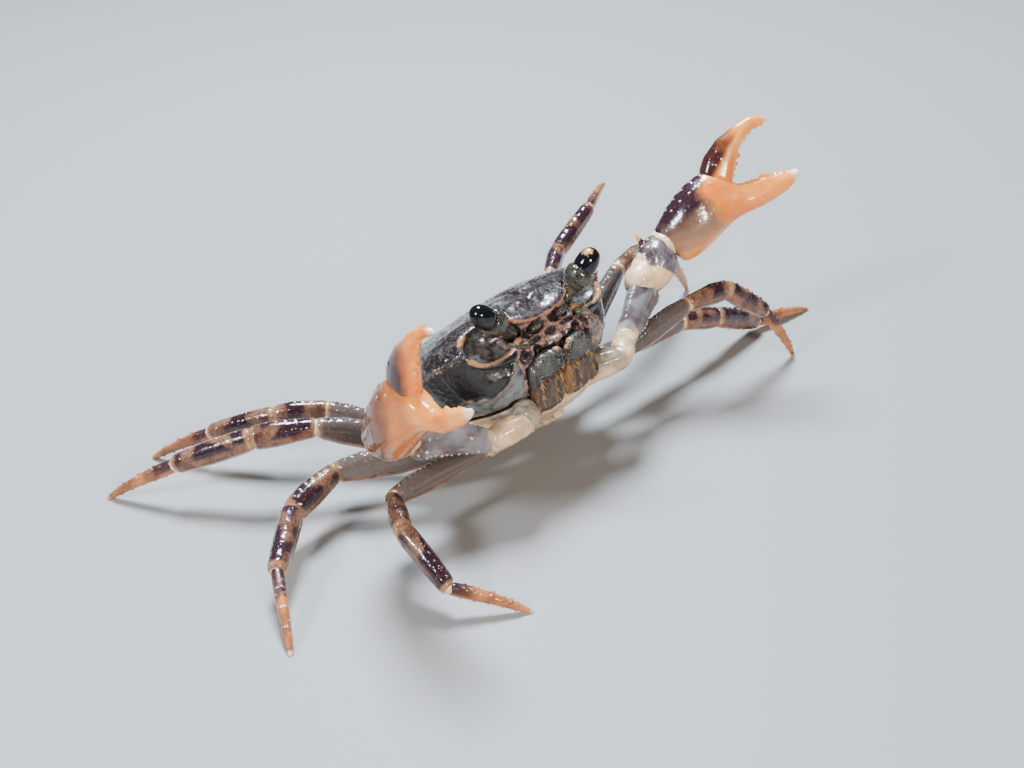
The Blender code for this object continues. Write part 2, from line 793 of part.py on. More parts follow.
ISCHIUM = ((0.0, 1.3, 1.35, 0), (0.5, 1.35, 1.45, 0), (1.0, 1.25, 1.35, 0))
CLAW_MERUS = ((0.0, 1.2, 1.25, 0), (0.2, 1.35, 1.5, 0.1), (0.6, 1.55, 1.85, 0.25),
              (0.88, 1.8, 2.15, 0.1), (1.0, 1.6, 1.85, 0))
CLAW_CARPUS = ((0.0, 1.5, 1.6, 0), (0.25, 2.15, 2.2, 0), (0.55, 2.45, 2.55, 0.1), (0.8, 2.3, 2.4, 0.1),
               (1.0, 1.6, 1.9, 0))


def claw_ring(origin, axes, section, sides=12):
    along, across, up = axes
    distance, top, bottom, half_thick = section
    centre = origin + along * distance + up * ((top + bottom) / 2)
    return oval(centre, across, up, half_thick, (top - bottom) / 2, sides, 0.9)


def edge_height(sections, distance):
    """Height of the upper edge of the palm at a distance along the claw."""
    for low, high in zip(sections, sections[1:]):
        if low[0] <= distance <= high[0]:
            mix = (distance - low[0]) / (high[0] - low[0])
            return low[1] + (high[1] - low[1]) * mix
    return sections[-1][1]


def palm_front(axes):
    """Normal of the palm's flat front."""
    along, _, up = axes
    lean = math.radians(PALM_FRONT_LEAN)
    return along * math.cos(lean) + up * math.sin(lean)


def finger_rings(origin, axes):
    """Rings of the movable finger, square to its curved middle line, and its cutting edge."""
    along, across, up = axes
    rings, edge = [], []
    last = len(FINGER_PATH) - 1
    for i, (distance, height, half_high, half_thick) in enumerate(FINGER_PATH):
        before = FINGER_PATH[max(i - 1, 0)]
        after = FINGER_PATH[min(i + 1, last)]
        way = (along * (after[0] - before[0]) + up * (after[1] - before[1])).normalized()
        if i == 0:
            way = palm_front(axes)
        rise = across.cross(way)
        centre = origin + along * distance + up * height
        rings.append(oval(centre, across, rise, half_thick, half_high, 12, 0.9))
        edge.append((centre - rise * half_high, -rise))
    return rings, edge


def finger_teeth(edge, count, tall):
    """Blunt teeth spread along a cutting edge, every third one larger."""
    teeth = []
    for i in range(count):
        place = (i + 0.7) * (len(edge) - 1) / count
        low = int(place)
        mix = place - low
        base = edge[low][0].lerp(edge[low + 1][0], mix)
        out = edge[low][1].lerp(edge[low + 1][1], mix)
        size = tall * (1.35 if i % 3 == 1 else 0.85)
        teeth.append(cone(base, out, size * 0.75, size, 0.3))
    return teeth


def build_claw(name):
    side = 1 if name == "left" else -1
    pose = CLAW_POSES[name]
    path = limb_path(1, name)
    normals = joint_normals(path)
    label = f"claw_{name}"

    start, end = path[1], path[2]
    node(f"{label}_ischium", "belly", limb(start, end, normals[1], normals[2], ISCHIUM))

    start, end = path[2], path[3]
    reach = reach_of(CLAW_MERUS)
    shares = [0.2 + 0.08 * i for i in range(9)]
    beads = spines_along(start, end, (side * 60, side * -60), shares, reach, 0.22, 0.16)
    node(f"{label}_merus", "arm", limb(start, end, normals[2], normals[3], CLAW_MERUS), beads)

    start, end = path[3], path[4]
    reach = reach_of(CLAW_CARPUS)
    crest = spines_along(start, end, (0, side * 30), (0.35, 0.55, 0.75), reach, 0.28, 0.22)
    crest += spines_along(start, end, (side * 15,), (0.62,), reach, 0.5, 1.1)
    node(f"{label}_carpus", "arm", limb(start, end, normals[3], normals[4], CLAW_CARPUS), crest)

    origin = path[4]
    direction = heading(side, *pose["chela"])
    axes = frame_along(direction, -side * pose["lean"])
    along, across, up = axes
    palm = [claw_ring(origin, axes, section) for section in PALM_SECTIONS]
    for i in range(2):
        palm[i] = slide_inside(palm[i], along, origin, normals[4], GAP / 2 + 0.12 * i, i == 0)
    front = palm_front(axes)
    corner = origin + along * PALM_FRONT[0] + up * PALM_FRONT[1]
    for i, section in enumerate(PALM_SECTIONS):
        if PALM_FRONT[0] < section[0] < PALM_FRONT_END:
            palm[i] = [p - up * (max((p - corner).dot(front), 0) / up.dot(front)) for p in palm[i]]
    edge = [
        (origin + along * distance + up * top, up)
        for distance, top, _, _ in PALM_SECTIONS if distance > PALM_FRONT_END
    ]
    teeth = finger_teeth(edge, 8, 0.34)
    bumps = []
    for row, angle in enumerate((-16, 0, 16)):
        out = up * math.cos(math.radians(angle)) + across * math.sin(math.radians(angle))
        for i in range(4):
            distance = 2.0 + 1.5 * i + 0.4 * row
            top = edge_height(PALM_SECTIONS, distance)
            base = origin + along * distance + up * (top * math.cos(math.radians(angle * 1.2)))
            base += across * (math.sin(math.radians(angle)) * 2.2)
            bumps.append(cone(base, out, 0.34, 0.28, 0.45))
    node(f"{label}_palm", "claw", loft(palm), teeth + bumps)

    finger, edge = finger_rings(origin, axes)
    node(f"{label}_finger", "claw", loft(finger), finger_teeth(edge[:-1], 8, 0.34))


clear_scene()
CRAB = new_collection(MODEL_NAME)
build_body()
for side_name in ("left", "right"):
    build_claw(side_name)
    for leg_pair in LEG_LENGTHS:
        build_leg(leg_pair, side_name)
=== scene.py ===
"""Looks of a small freshwater crab, wet from the stream, that raises its open claws.

Sizes are in millimetres and angles in degrees; the finished pieces are in metres.
World: +Z is up, the crab looks along -Y and its own left is +X.
Body:  x to the crab's left, y to its rear, z up from the widest level of the carapace.
"""

import math

import bpy
import numpy as np
from mathutils import Matrix, Vector, kdtree


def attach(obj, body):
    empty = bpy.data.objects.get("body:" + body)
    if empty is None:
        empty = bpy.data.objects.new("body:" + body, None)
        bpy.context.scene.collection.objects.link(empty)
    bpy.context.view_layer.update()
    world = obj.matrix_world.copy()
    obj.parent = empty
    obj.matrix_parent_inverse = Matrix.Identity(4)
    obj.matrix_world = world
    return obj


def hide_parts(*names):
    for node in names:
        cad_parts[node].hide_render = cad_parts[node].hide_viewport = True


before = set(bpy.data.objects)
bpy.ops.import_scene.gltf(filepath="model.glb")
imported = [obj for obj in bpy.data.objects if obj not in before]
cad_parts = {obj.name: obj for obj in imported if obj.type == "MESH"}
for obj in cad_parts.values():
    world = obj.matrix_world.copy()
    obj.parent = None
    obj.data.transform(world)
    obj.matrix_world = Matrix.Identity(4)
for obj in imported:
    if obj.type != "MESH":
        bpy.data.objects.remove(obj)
bpy.ops.object.select_all(action="DESELECT")
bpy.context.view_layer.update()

MM = 0.001
SIDES = (("left", 1), ("right", -1))

# Camera: its place, and how it is turned
CAMERA_AT = Vector((-101.113, -103.996, 88.425))
CAMERA_AZIMUTH = -44.0
CAMERA_ELEVATION = 30.0
CAMERA_ROLL = 3.2
CAMERA_LENS = 49.4546


def add_camera():
    azimuth = math.radians(CAMERA_AZIMUTH)
    elevation = math.radians(CAMERA_ELEVATION)
    roll = math.radians(CAMERA_ROLL)
    back = Vector((math.sin(azimuth) * math.cos(elevation),
                   -math.cos(azimuth) * math.cos(elevation), math.sin(elevation)))
    level = Vector((0, 0, 1)).cross(back).normalized()
    upright = back.cross(level)
    right = level * math.cos(roll) - upright * math.sin(roll)
    up = level * math.sin(roll) + upright * math.cos(roll)
    bpy.ops.object.camera_add()
    camera = bpy.context.object
    camera.name = "camera"
    camera.data.lens = CAMERA_LENS
    camera.data.sensor_width = 36.0
    camera.data.clip_start = 0.005
    turn = Matrix((right, up, back)).transposed()
    camera.matrix_world = Matrix.Translation(CAMERA_AT * MM) @ turn.to_4x4()
    bpy.context.scene.camera = camera


def add_stage():
    """Pale floor that reaches past the view."""
    bpy.ops.mesh.primitive_plane_add(size=4.0, location=(0, 0, 0))
    floor = bpy.context.object
    floor.name = "floor"
    made = bpy.data.materials.new("pale_floor")
    made.use_nodes = True
    shader = made.node_tree.nodes["Principled BSDF"]
    shader.inputs["Base Color"].default_value = (0.3, 0.292, 0.28, 1)
    shader.inputs["Roughness"].default_value = 0.6
    floor.data.materials.append(made)


def add_light(name, size, power, colour, at, aim=(0, 0, 0.012)):
    bpy.ops.object.light_add(type="AREA", location=at)
    light = bpy.context.object
    light.name = name
    light.data.shape = "DISK"
    light.data.size = size
    light.data.energy = power
    light.data.color = colour
    light.rotation_euler = (Vector(aim) - Vector(at)).to_track_quat("-Z", "Y").to_euler()


def add_lights():
    world = bpy.data.worlds.new("soft_sky")
    bpy.context.scene.world = world
    world.use_nodes = True
    background = world.node_tree.nodes["Background"]
    background.inputs["Color"].default_value = (0.78, 0.86, 1.0, 1)
    background.inputs["Strength"].default_value = 0.15
    add_light("sky_window", 0.13, 6.2, (0.74, 0.87, 1.0), (0.1, 0.14, 0.36))
    add_light("side_window", 0.07, 2.0, (0.84, 0.92, 1.0), (-0.34, 0.02, 0.26))
    add_light("front_fill", 0.09, 2.1, (1.0, 0.94, 0.86), (-0.14, -0.4, 0.2))


add_camera()
add_stage()
add_lights()

# Stance of the body, the eyes, and the joints of the limbs
EYE_ROOT = (4.6, -9.3, 0.1)
EYE_POSE = {
    "left": (0.59, -0.22, 0.78),
    "right": (-0.74, 0.05, 0.67),
}
BODY_PITCH = 37.0
BODY_ROLL = 3.5
BODY_AT = Vector((-4.8, -1.4, 13.1))
COXA_ROOT = {
    1: (6.0, -6.3, -8.4),
    2: (7.4, -3.3, -8.9),
    3: (8.0, -1.2, -8.2),
    4: (7.8, 2.4, -7.5),
    5: (6.8, 5.6, -6.4),
}
COXA_REACH = {
    1: (2.4, -1.7, -0.6),
    2: (3.3, 0.0, -0.5),
    3: (3.5, 0.0, 0.0),
    4: (3.4, 0.7, 0.2),
    5: (3.6, 1.3, 0.2),
}
LEG_LENGTHS = {
    2: (12.4, 5.8, 7.6, 8.6),
    3: (14.2, 6.8, 9.0, 9.6),
    4: (14.0, 7.0, 9.6, 10.0),
    5: (11.8, 6.0, 8.4, 9.0),
}
LEG_POSES = {
    (2, "right"): ((95, -2), (32, 0), (3, -28), (-41, None)),
    (3, "right"): ((127, -5), (81, -9), (49, -6), (32, None)),
    (4, "right"): ((133, 15), (128, -4), (137, -19), (143, None)),
    (5, "right"): ((148, 18), (134, -5), (142, -17), (147, None)),
    (2, "left"): ((80, 17), (75, 3), (72, -38), (65, None)),
    (3, "left"): ((86, -4), (86, -15), (87, -24), (78, None)),
    (4, "left"): ((104, 29), (104, -6), (105, -28), (106, None)),
    (5, "left"): ((128, 40), (124, 5), (100, 22), (118, -1)),
}
LEG_PARTS = ("merus", "carpus", "propodus", "dactylus")
CLAW_ARM = (3.6, 8.6, 5.6)
CLAW_POSES = {
    "left": {"arm": ((122, 7), (114, 18), (94, 46)), "chela": (59, 23), "lean": 25},
    "right": {"arm": ((110, -13), (120, 10), (84, 31)), "chela": (3, 35), "lean": -1},
}


def body_turn():
    pitch = Matrix.Rotation(math.radians(-BODY_PITCH), 3, "X")
    return pitch @ Matrix.Rotation(math.radians(-BODY_ROLL), 3, "Y")


def body_point(x, y, z):
    return body_turn() @ Vector((x, y, z)) + BODY_AT


def heading(sign, away, rise):
    """Direction that turns away from straight ahead to one side and rises."""
    away, rise = math.radians(away), math.radians(rise)
    level = math.cos(rise)
    return Vector((sign * level * math.sin(away), -level * math.cos(away), math.sin(rise)))


def frame_along(direction, lean=0.0):
    """Axes of a limb: along it, across it, and up, leant sideways by an angle."""
    along = direction.normalized()
    across = along.cross(Vector((0, 0, 1))).normalized()
    across = Matrix.Rotation(math.radians(lean), 3, along) @ across
    return along, across, across.cross(along)


def limb_path(pair, name):
    """Joints of a limb, from the root of its coxa to its tip."""
    side = 1 if name == "left" else -1
    root = Vector(COXA_ROOT[pair])
    end = root + Vector(COXA_REACH[pair])
    path = [body_point(side * x, y, z) for x, y, z in (root, end)]
    if pair == 1:
        pose = CLAW_POSES[name]
        for length, (away, rise) in zip(CLAW_ARM, pose["arm"]):
            path.append(path[-1] + heading(side, away, rise) * length)
        path.append(path[-1] + heading(side, *pose["chela"]) * 18.0)
        return path
    for length, (away, rise) in zip(LEG_LENGTHS[pair], LEG_POSES[(pair, name)]):
        if rise is None:
            rise = -math.degrees(math.asin(path[-1].z / length))
        path.append(path[-1] + heading(side, away, rise) * length)
    return path


# Working on meshes

# Spacing of the fine mesh and distance of its smoothing, in millimetres
CARAPACE_MESH = (0.148, 0.7)
THORAX_MESH = (0.17, 0.35)
TAIL_FLAP_MESH = (0.12, 0.3)
MOUTH_LEG_MESH = (0.11, 0.24)
EYESTALK_MESH = (0.09, 0.2)
CORNEA_MESH = (0.08, 0.3)
FEELER_MESH = (0.06, 0.1)
JOINT_SKIN_MESH = (0.1, 0.05)
LIMB_SPACING = 0.12
SPINED_LEG_MESH = (0.1, 0.07)
SPINED_CLAW_MESH = (0.11, 0.08)
FIRST_CLAW_MESH = (0.14, 0)
PALM_MESH = (0.12, 0.55)
FINGER_MESH = (0.12, 0.24)


def activate(piece):
    bpy.ops.object.select_all(action="DESELECT")
    piece.select_set(True)
    bpy.context.view_layer.objects.active = piece


def modify(piece, kind, **settings):
    """Adds one modifier to a piece and applies it."""
    activate(piece)
    bpy.ops.object.modifier_add(type=kind)
    modifier = piece.modifiers[-1]
    for key, value in settings.items():
        setattr(modifier, key, value)
    bpy.ops.object.modifier_apply(modifier=modifier.name)


def copy_node(node_name, piece_name):
    """Merged copy of a solid, to be worked into a finished piece."""
    piece = bpy.data.objects.new(piece_name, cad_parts[node_name].data.copy())
    bpy.context.scene.collection.objects.link(piece)
    piece.data.materials.clear()
    activate(piece)
    bpy.ops.object.mode_set(mode="EDIT")
    bpy.ops.mesh.select_all(action="SELECT")
    bpy.ops.mesh.remove_doubles(threshold=0.000002)
    bpy.ops.object.mode_set(mode="OBJECT")
    return piece


def join_to(piece, others):
    activate(piece)
    for other in others:
        other.select_set(True)
    bpy.ops.object.join()


def join_new(name, pieces):
    """One new piece made of several, with its place in its mesh."""
    piece = pieces[0]
    join_to(piece, pieces)
    bpy.ops.object.transform_apply(location=True, rotation=True, scale=True)
    piece.name = name
    piece.data.name = name
    return piece


def add_ball(radii, centre, turn=None, segments=24, rings=16):
    """Ball at a place in millimetres, stretched along its own axes, which may be turned."""
    bpy.ops.mesh.primitive_uv_sphere_add(
        segments=segments, ring_count=rings, radius=MM, location=Vector(centre) * MM)
    ball = bpy.context.object
    ball.scale = radii
    if turn is not None:
        ball.rotation_euler = turn.to_euler()
    return ball


def refine(piece, grain, soften, where=None):
    """Even fine mesh over a piece, smoothed over a distance to lose its facets.

    where gives each point's share of the smoothing, from 0 to 1.
    """
    modify(piece, "REMESH", mode="VOXEL", voxel_size=grain * MM, use_smooth_shade=True)
    rounds = round(4 * (soften / grain) ** 2)
    if not rounds:
        return
    if where is None:
        modify(piece, "SMOOTH", factor=0.5, iterations=rounds)
        return
    share = where(Skin(piece))
    group = piece.vertex_groups.new(name="soft")
    for level in range(1, 11):
        chosen = np.flatnonzero(np.round(share * 10) == level)
        group.add([int(i) for i in chosen], level / 10, "REPLACE")
    modify(piece, "SMOOTH", factor=0.5, iterations=rounds, vertex_group="soft")


def add_spines(piece, spines):
    """Sets cones on a piece, each with its place, direction, radius and height."""
    if not spines:
        return
    cones = []
    for place, way, radius, height in spines:
        sunk = 0.8 * radius
        centre = place + way * ((height - sunk) / 2)
        bpy.ops.mesh.primitive_cone_add(
            vertices=8, radius1=radius * (1 + sunk / height) * MM, radius2=0.18 * radius * MM,
            depth=(height + sunk) * MM, location=centre * MM,
            rotation=way.to_track_quat("Z", "Y").to_euler())
        cones.append(bpy.context.object)
    join_to(piece, cones)


def spine_row(piece, start, end, angle, shares, radius, height, lean=0.5, tilt=0.0):
    """Spines along a limb, on its surface at an angle from straight up.

    lean bends them towards the limb's tip, and tilt turns the whole row round the limb.
    """
    along, across, up = frame_along(end - start, tilt)
    out = up * math.cos(math.radians(angle)) + across * math.sin(math.radians(angle))
    spines = []
    for share in shares:
        middle = start.lerp(end, share)
        found, place, _, _ = piece.ray_cast((middle + out * 6.0) * MM, -out, distance=6.0 * MM)
        if found:
            spines.append((place / MM, (out + along * lean).normalized(), radius, height))
    return spines


def spaced(start, end, count):
    return [start + (end - start) * i / (count - 1) for i in range(count)]


def fade(values, start, end):
    """Smooth step from 0 at start to 1 at end, either way round."""
    share = np.clip((values - start) / (end - start), 0, 1)
    return share * share * (3 - 2 * share)


def bell(gap, width):
    """Rounded ridge: 1 on its line, falling off to each side over a width."""
    return np.exp(-(gap / width) ** 2)


def highest(*values):
    """Largest of several measures at each point."""
    top = values[0]
    for value in values[1:]:
        top = np.maximum(top, value)
    return top


def mottle(places, size, seed):
    """Smooth random pattern from -1 to 1 with patches of about one size."""
    rng = np.random.default_rng(seed)
    turned = places[:, (1, 2, 0)] * (math.tau / (2.3 * size)) + rng.uniform(0, math.tau, 3)
    places = places + 0.3 * size * np.sin(turned)
    total = np.zeros(len(places))
    for _ in range(16):
        way = rng.normal(size=3)
        way *= math.tau / (1.6 * size * rng.uniform(0.6, 1.5)) / np.linalg.norm(way)
        total += np.sin(places @ way + rng.uniform(0, math.tau))
    return np.clip(total / 5.0, -1, 1)


def smooth_line(points, steps=6):
    """Points along a smooth curve through the given ones."""
    points = [np.array(p, float) for p in points]
    ends = [2 * points[0] - points[1]] + points + [2 * points[-1] - points[-2]]
    line = []
    for a, b, c, d in zip(ends, ends[1:], ends[2:], ends[3:]):
        for step in range(steps):
            t = step / steps
            line.append(0.5 * (2 * b + (c - a) * t + (2 * a - 5 * b + 4 * c - d) * t * t
                               + (3 * b - a - 3 * c + d) * t ** 3))
    line.append(points[-1])
    return line


def distance_to(places, line):
    """Distance of every place from a line of points."""
    best = np.full(len(places), 1e9)
    for a, b in zip(line, line[1:]):
        step = b - a
        share = np.clip(((places - a) @ step) / step.dot(step), 0, 1)
        best = np.minimum(best, np.linalg.norm(places - a - share[:, None] * step, axis=1))
    return best


class Skin:
    """Points of a piece in millimetres, to be raised, sunk and painted."""

    def __init__(self, piece):
        self.piece = piece
        self.count = len(piece.data.vertices)
        flat = np.empty(self.count * 3, np.float32)
        piece.data.vertices.foreach_get("co", flat)
        self.places = flat.reshape(-1, 3).astype(float) / MM
        self.turn = np.array(body_turn())
        self.layers = {}
        self.update()

    def update(self):
        mesh = self.piece.data
        mesh.vertices.foreach_set("co", (self.places * MM).astype(np.float32).ravel())
        mesh.update()
        flat = np.empty(self.count * 3, np.float32)
        mesh.vertices.foreach_get("normal", flat)
        self.normals = flat.reshape(-1, 3).astype(float)

    def body(self):
        """Places in the body's own axes."""
        return (self.places - np.array(BODY_AT)) @ self.turn

    def raise_by(self, heights):
        self.places += self.normals * np.asarray(heights)[:, None]

    def limb(self, start, end):
        """Share of the length, and how far each point faces up and across."""
        along, across, up = (np.array(v) for v in frame_along(end - start))
        offset = self.places - np.array(start)
        share = offset @ along / (end - start).length
        rise, wide = offset @ up, offset @ across
        reach = np.hypot(rise, wide) + 1e-6
        return share, rise / reach, wide / reach

    def grains(self, spacing, radius, height, where, seed):
        """Round granules scattered where the share says, tall ones among low ones."""
        rng = np.random.default_rng(seed)
        chosen = np.flatnonzero(rng.random(self.count) < where)
        if not len(chosen):
            return
        rng.shuffle(chosen)
        near = np.flatnonzero(where > 0.0)
        tree = kdtree.KDTree(len(near))
        for i in near:
            tree.insert(self.places[i], i)
        tree.balance()
        taken = np.zeros(self.count, bool)
        bump = np.zeros(self.count)
        for i in chosen:
            if taken[i]:
                continue
            size = rng.uniform(0.65, 1.15)
            for _, j, gap in tree.find_range(self.places[i], spacing):
                taken[j] = True
                if gap < radius * size:
                    bump[j] = max(bump[j], size * (1 - (gap / (radius * size)) ** 2) ** 1.2)
        self.raise_by(bump * height)
        self.layers["grain"] = np.maximum(self.layers.get("grain", 0), np.clip(bump, 0, 1))

    def mark(self, spines, strength):
        """Paints the caps of spines that have been set on the piece."""
        near = np.zeros(self.count)
        for place, way, radius, height in spines:
            gap = np.linalg.norm(self.places - np.array(place + way * height), axis=1)
            near = np.maximum(near, fade(gap, 1.5 * radius, 0.6 * radius))
        self.layers["grain"] = np.maximum(self.layers.get("grain", 0), strength * near)

    def paint(self, **layers):
        for name, values in layers.items():
            self.layers[name] = np.clip(values, 0, 1)

    def finish(self, material, slot, replaces):
        """Writes the shape and the painted layers, and hangs the piece on the crab."""
        self.update()
        for name in LAYERS:
            values = self.layers.get(name, np.zeros(self.count))
            layer = self.piece.data.attributes.new(name, "FLOAT", "POINT")
            layer.data.foreach_set("value", np.asarray(values, np.float32))
        self.piece.data.materials.clear()
        self.piece.data.materials.append(material)
        self.piece.data.shade_smooth()
        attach(self.piece, "root")
        if replaces:
            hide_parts(replaces)


# Materials
LAYERS = ("dark", "rim", "cream", "grain", "pale", "pink")


class Finish:
    """Builder of one material from noise on the object and the painted layers."""

    def __init__(self, name):
        self.material = bpy.data.materials.new(name)
        self.material.use_nodes = True
        self.nodes = self.material.node_tree.nodes
        self.links = self.material.node_tree.links
        self.shader = self.nodes["Principled BSDF"]
        self.coordinates = self.nodes.new("ShaderNodeTexCoord").outputs["Object"]

    def layer(self, name):
        node = self.nodes.new("ShaderNodeAttribute")
        node.attribute_name = name
        return node.outputs["Fac"]

    def noise(self, size, detail=3.0, distortion=0.0):
        """Noise whose patches are about one size across, in millimetres."""
        node = self.nodes.new("ShaderNodeTexNoise")
        node.inputs["Scale"].default_value = 1 / (2 * size * MM)
        node.inputs["Detail"].default_value = detail
        node.inputs["Distortion"].default_value = distortion
        self.links.new(self.coordinates, node.inputs["Vector"])
        return node.outputs["Fac"]

    def cells(self, size):
        """Distance from the nearest of scattered points, for pores and facets."""
        node = self.nodes.new("ShaderNodeTexVoronoi")
        node.inputs["Scale"].default_value = 1 / (size * MM)
        self.links.new(self.coordinates, node.inputs["Vector"])
        return node.outputs["Distance"]

    def spread(self, value, low, high, start=0.0, end=1.0):
        """Value stretched from one range to another, cut off at the ends."""
        node = self.nodes.new("ShaderNodeMapRange")
        self.links.new(value, node.inputs["Value"])
        limits = {"From Min": low, "From Max": high, "To Min": start, "To Max": end}
        for key, number in limits.items():
            node.inputs[key].default_value = number
        return node.outputs["Result"]

    def reckon(self, operation, first, second):
        """Sum or product of two values."""
        node = self.nodes.new("ShaderNodeMath")
        node.operation = operation
        self.links.new(first, node.inputs[0])
        self.links.new(second, node.inputs[1])
        return node.outputs[0]

    def mix(self, share, first, second):
        """Blend of two colours, each a socket or three numbers."""
        node = self.nodes.new("ShaderNodeMix")
        node.data_type = "RGBA"
        self.links.new(share, node.inputs["Factor"])
        for socket, value in zip((node.inputs[6], node.inputs[7]), (first, second)):
            if isinstance(value, tuple):
                socket.default_value = (*value, 1)
            else:
                self.links.new(value, socket)
        return node.outputs[2]

    def bump(self, height, strength, depth, below=None):
        node = self.nodes.new("ShaderNodeBump")
        node.inputs["Strength"].default_value = strength
        node.inputs["Distance"].default_value = depth * MM
        self.links.new(height, node.inputs["Height"])
        if below is not None:
            self.links.new(below, node.inputs["Normal"])
        return node.outputs["Normal"]

    def set(self, **values):
        for name, value in values.items():
            self.shader.inputs[name.replace("_", " ")].default_value = value


CHARCOAL = (0.012, 0.01, 0.01)
PURPLE = (0.03, 0.01, 0.016)
BROWN = (0.12, 0.065, 0.035)
TAN = (0.3, 0.19, 0.11)
CREAM = (0.95, 0.6, 0.32)
ORANGE = (0.85, 0.3, 0.07)
PINK = (0.32, 0.17, 0.13)
SLATE = (0.16, 0.17, 0.17)
IVORY = (0.9, 0.78, 0.62)


def wet_shell(name, tones, dark, rim, cream, grain, pale, speck=0.5, speck_size=0.16, patch=1.3,
              rough=(0.22, 0.42), coat=0.7, glow=0.0, relief=0.5, pink=PINK, blend=0.22):
    """Wet, finely pored shell, mottled in two tones, with the painted markings over it."""
    finish = Finish(name)
    colour = finish.mix(finish.spread(finish.noise(patch, 4.0, 0.6), 0.38, 0.62), *tones)
    ragged = finish.spread(finish.noise(0.35, 3.0), 0.3, 0.7, -blend, blend)
    markings = (("pink", pink), ("cream", cream), ("dark", dark), ("pale", pale), ("rim", rim))
    for layer, shade in markings:
        edge = finish.reckon("ADD", finish.layer(layer), ragged)
        colour = finish.mix(finish.spread(edge, blend, 1 - blend), colour, shade)
    colour = finish.mix(finish.spread(finish.layer("grain"), 0.15, 0.75), colour, grain)
    specks = finish.spread(finish.noise(speck_size, 2.0), 0.5, 0.68, 0.0, speck)
    for layer in ("pale", "cream", "rim"):
        bare = finish.spread(finish.layer(layer), 0.0, 0.7, 1.0, 0.08)
        specks = finish.reckon("MULTIPLY", specks, bare)
    colour = finish.mix(specks, colour, tuple(0.22 * c for c in dark))
    finish.links.new(colour, finish.shader.inputs["Base Color"])
    wetness = finish.spread(finish.noise(0.5, 3.0), 0.3, 0.7, *rough)
    finish.links.new(wetness, finish.shader.inputs["Roughness"])
    pores = finish.bump(finish.cells(0.22), 0.35 * relief, 0.05)
    surface = finish.bump(finish.noise(0.3, 5.0), 0.5 * relief, 0.08, pores)
    finish.links.new(surface, finish.shader.inputs["Normal"])
    finish.set(Coat_Weight=coat, Coat_Roughness=0.06, Coat_IOR=1.38, Specular_IOR_Level=0.3)
    if glow:
        finish.set(Subsurface_Weight=glow, Subsurface_Radius=(1.0, 0.35, 0.15), Subsurface_Scale=0.8 * MM)
    return finish.material


# Each finish: its two ground tones, then the shades of dark, rim, cream, grain and pale places
FINISHES = {
    "shell": wet_shell(
        "wet_carapace", ((0.022, 0.014, 0.016), (0.085, 0.063, 0.06)), CHARCOAL,
        (0.36, 0.13, 0.075), (0.36, 0.17, 0.075), (0.26, 0.2, 0.17), SLATE,
        speck=0.9, speck_size=0.11, patch=0.35, rough=(0.18, 0.36), relief=0.4),
    "belly": wet_shell(
        "wet_underside", ((0.45, 0.29, 0.16), (0.75, 0.54, 0.36)), BROWN,
        (0.65, 0.28, 0.12), CREAM, IVORY, (0.2, 0.17, 0.13),
        speck=0.2, pink=(0.06, 0.045, 0.04), relief=0.3, glow=0.15),
    "mouth": wet_shell(
        "wet_mouth_legs", ((0.026, 0.025, 0.025), (0.08, 0.076, 0.074)), CHARCOAL,
        PINK, (0.05, 0.022, 0.008), (0.24, 0.19, 0.14), (0.26, 0.125, 0.045),
        speck=0.6, speck_size=0.12, pink=(0.26, 0.14, 0.08), relief=0.35, coat=0.5),
    "bristle": wet_shell(
        "golden_bristle", ((0.6, 0.33, 0.08), (0.8, 0.5, 0.16)), BROWN,
        PINK, CREAM, IVORY, TAN, speck=0.1, coat=0.2, pink=(0.75, 0.45, 0.13)),
    "stalk": wet_shell(
        "wet_eyestalk", ((0.02, 0.018, 0.013), (0.062, 0.052, 0.036)), CHARCOAL,
        ORANGE, (0.3, 0.19, 0.1), (0.1, 0.085, 0.06), SLATE,
        speck=0.7, speck_size=0.1, patch=0.6, rough=(0.12, 0.28), relief=0.3),
    "leg": wet_shell(
        "wet_leg", ((0.11, 0.046, 0.027), (0.235, 0.11, 0.062)), PURPLE,
        (0.42, 0.15, 0.06), (0.6, 0.31, 0.14), (0.22, 0.17, 0.16), (0.095, 0.068, 0.058),
        speck=0.45, speck_size=0.12, patch=0.9, glow=0.08, rough=(0.14, 0.28), relief=0.3, blend=0.1),
    "leg_tip": wet_shell(
        "wet_leg_tip", ((0.22, 0.068, 0.025), (0.5, 0.17, 0.05)), PURPLE,
        ORANGE, CREAM, (0.6, 0.3, 0.14), (0.75, 0.5, 0.32),
        speck=0.15, glow=0.2, relief=0.3, blend=0.08),
    "claw": wet_shell(
        "wet_claw", ((0.8, 0.2, 0.02), (1.0, 0.36, 0.06)), PURPLE,
        (0.045, 0.011, 0.01), IVORY, (0.6, 0.42, 0.32), (0.5, 0.14, 0.035),
        speck=0.05, patch=2.2, rough=(0.16, 0.3), glow=0.25, relief=0.15,
        pink=(0.25, 0.135, 0.08), blend=0.06),
    "arm": wet_shell(
        "wet_arm", ((0.095, 0.07, 0.072), (0.17, 0.13, 0.134)), PURPLE,
        (0.8, 0.27, 0.06), CREAM, (0.8, 0.7, 0.6), (0.21, 0.2, 0.215),
        speck=0.15, glow=0.15, relief=0.3, blend=0.12),
}


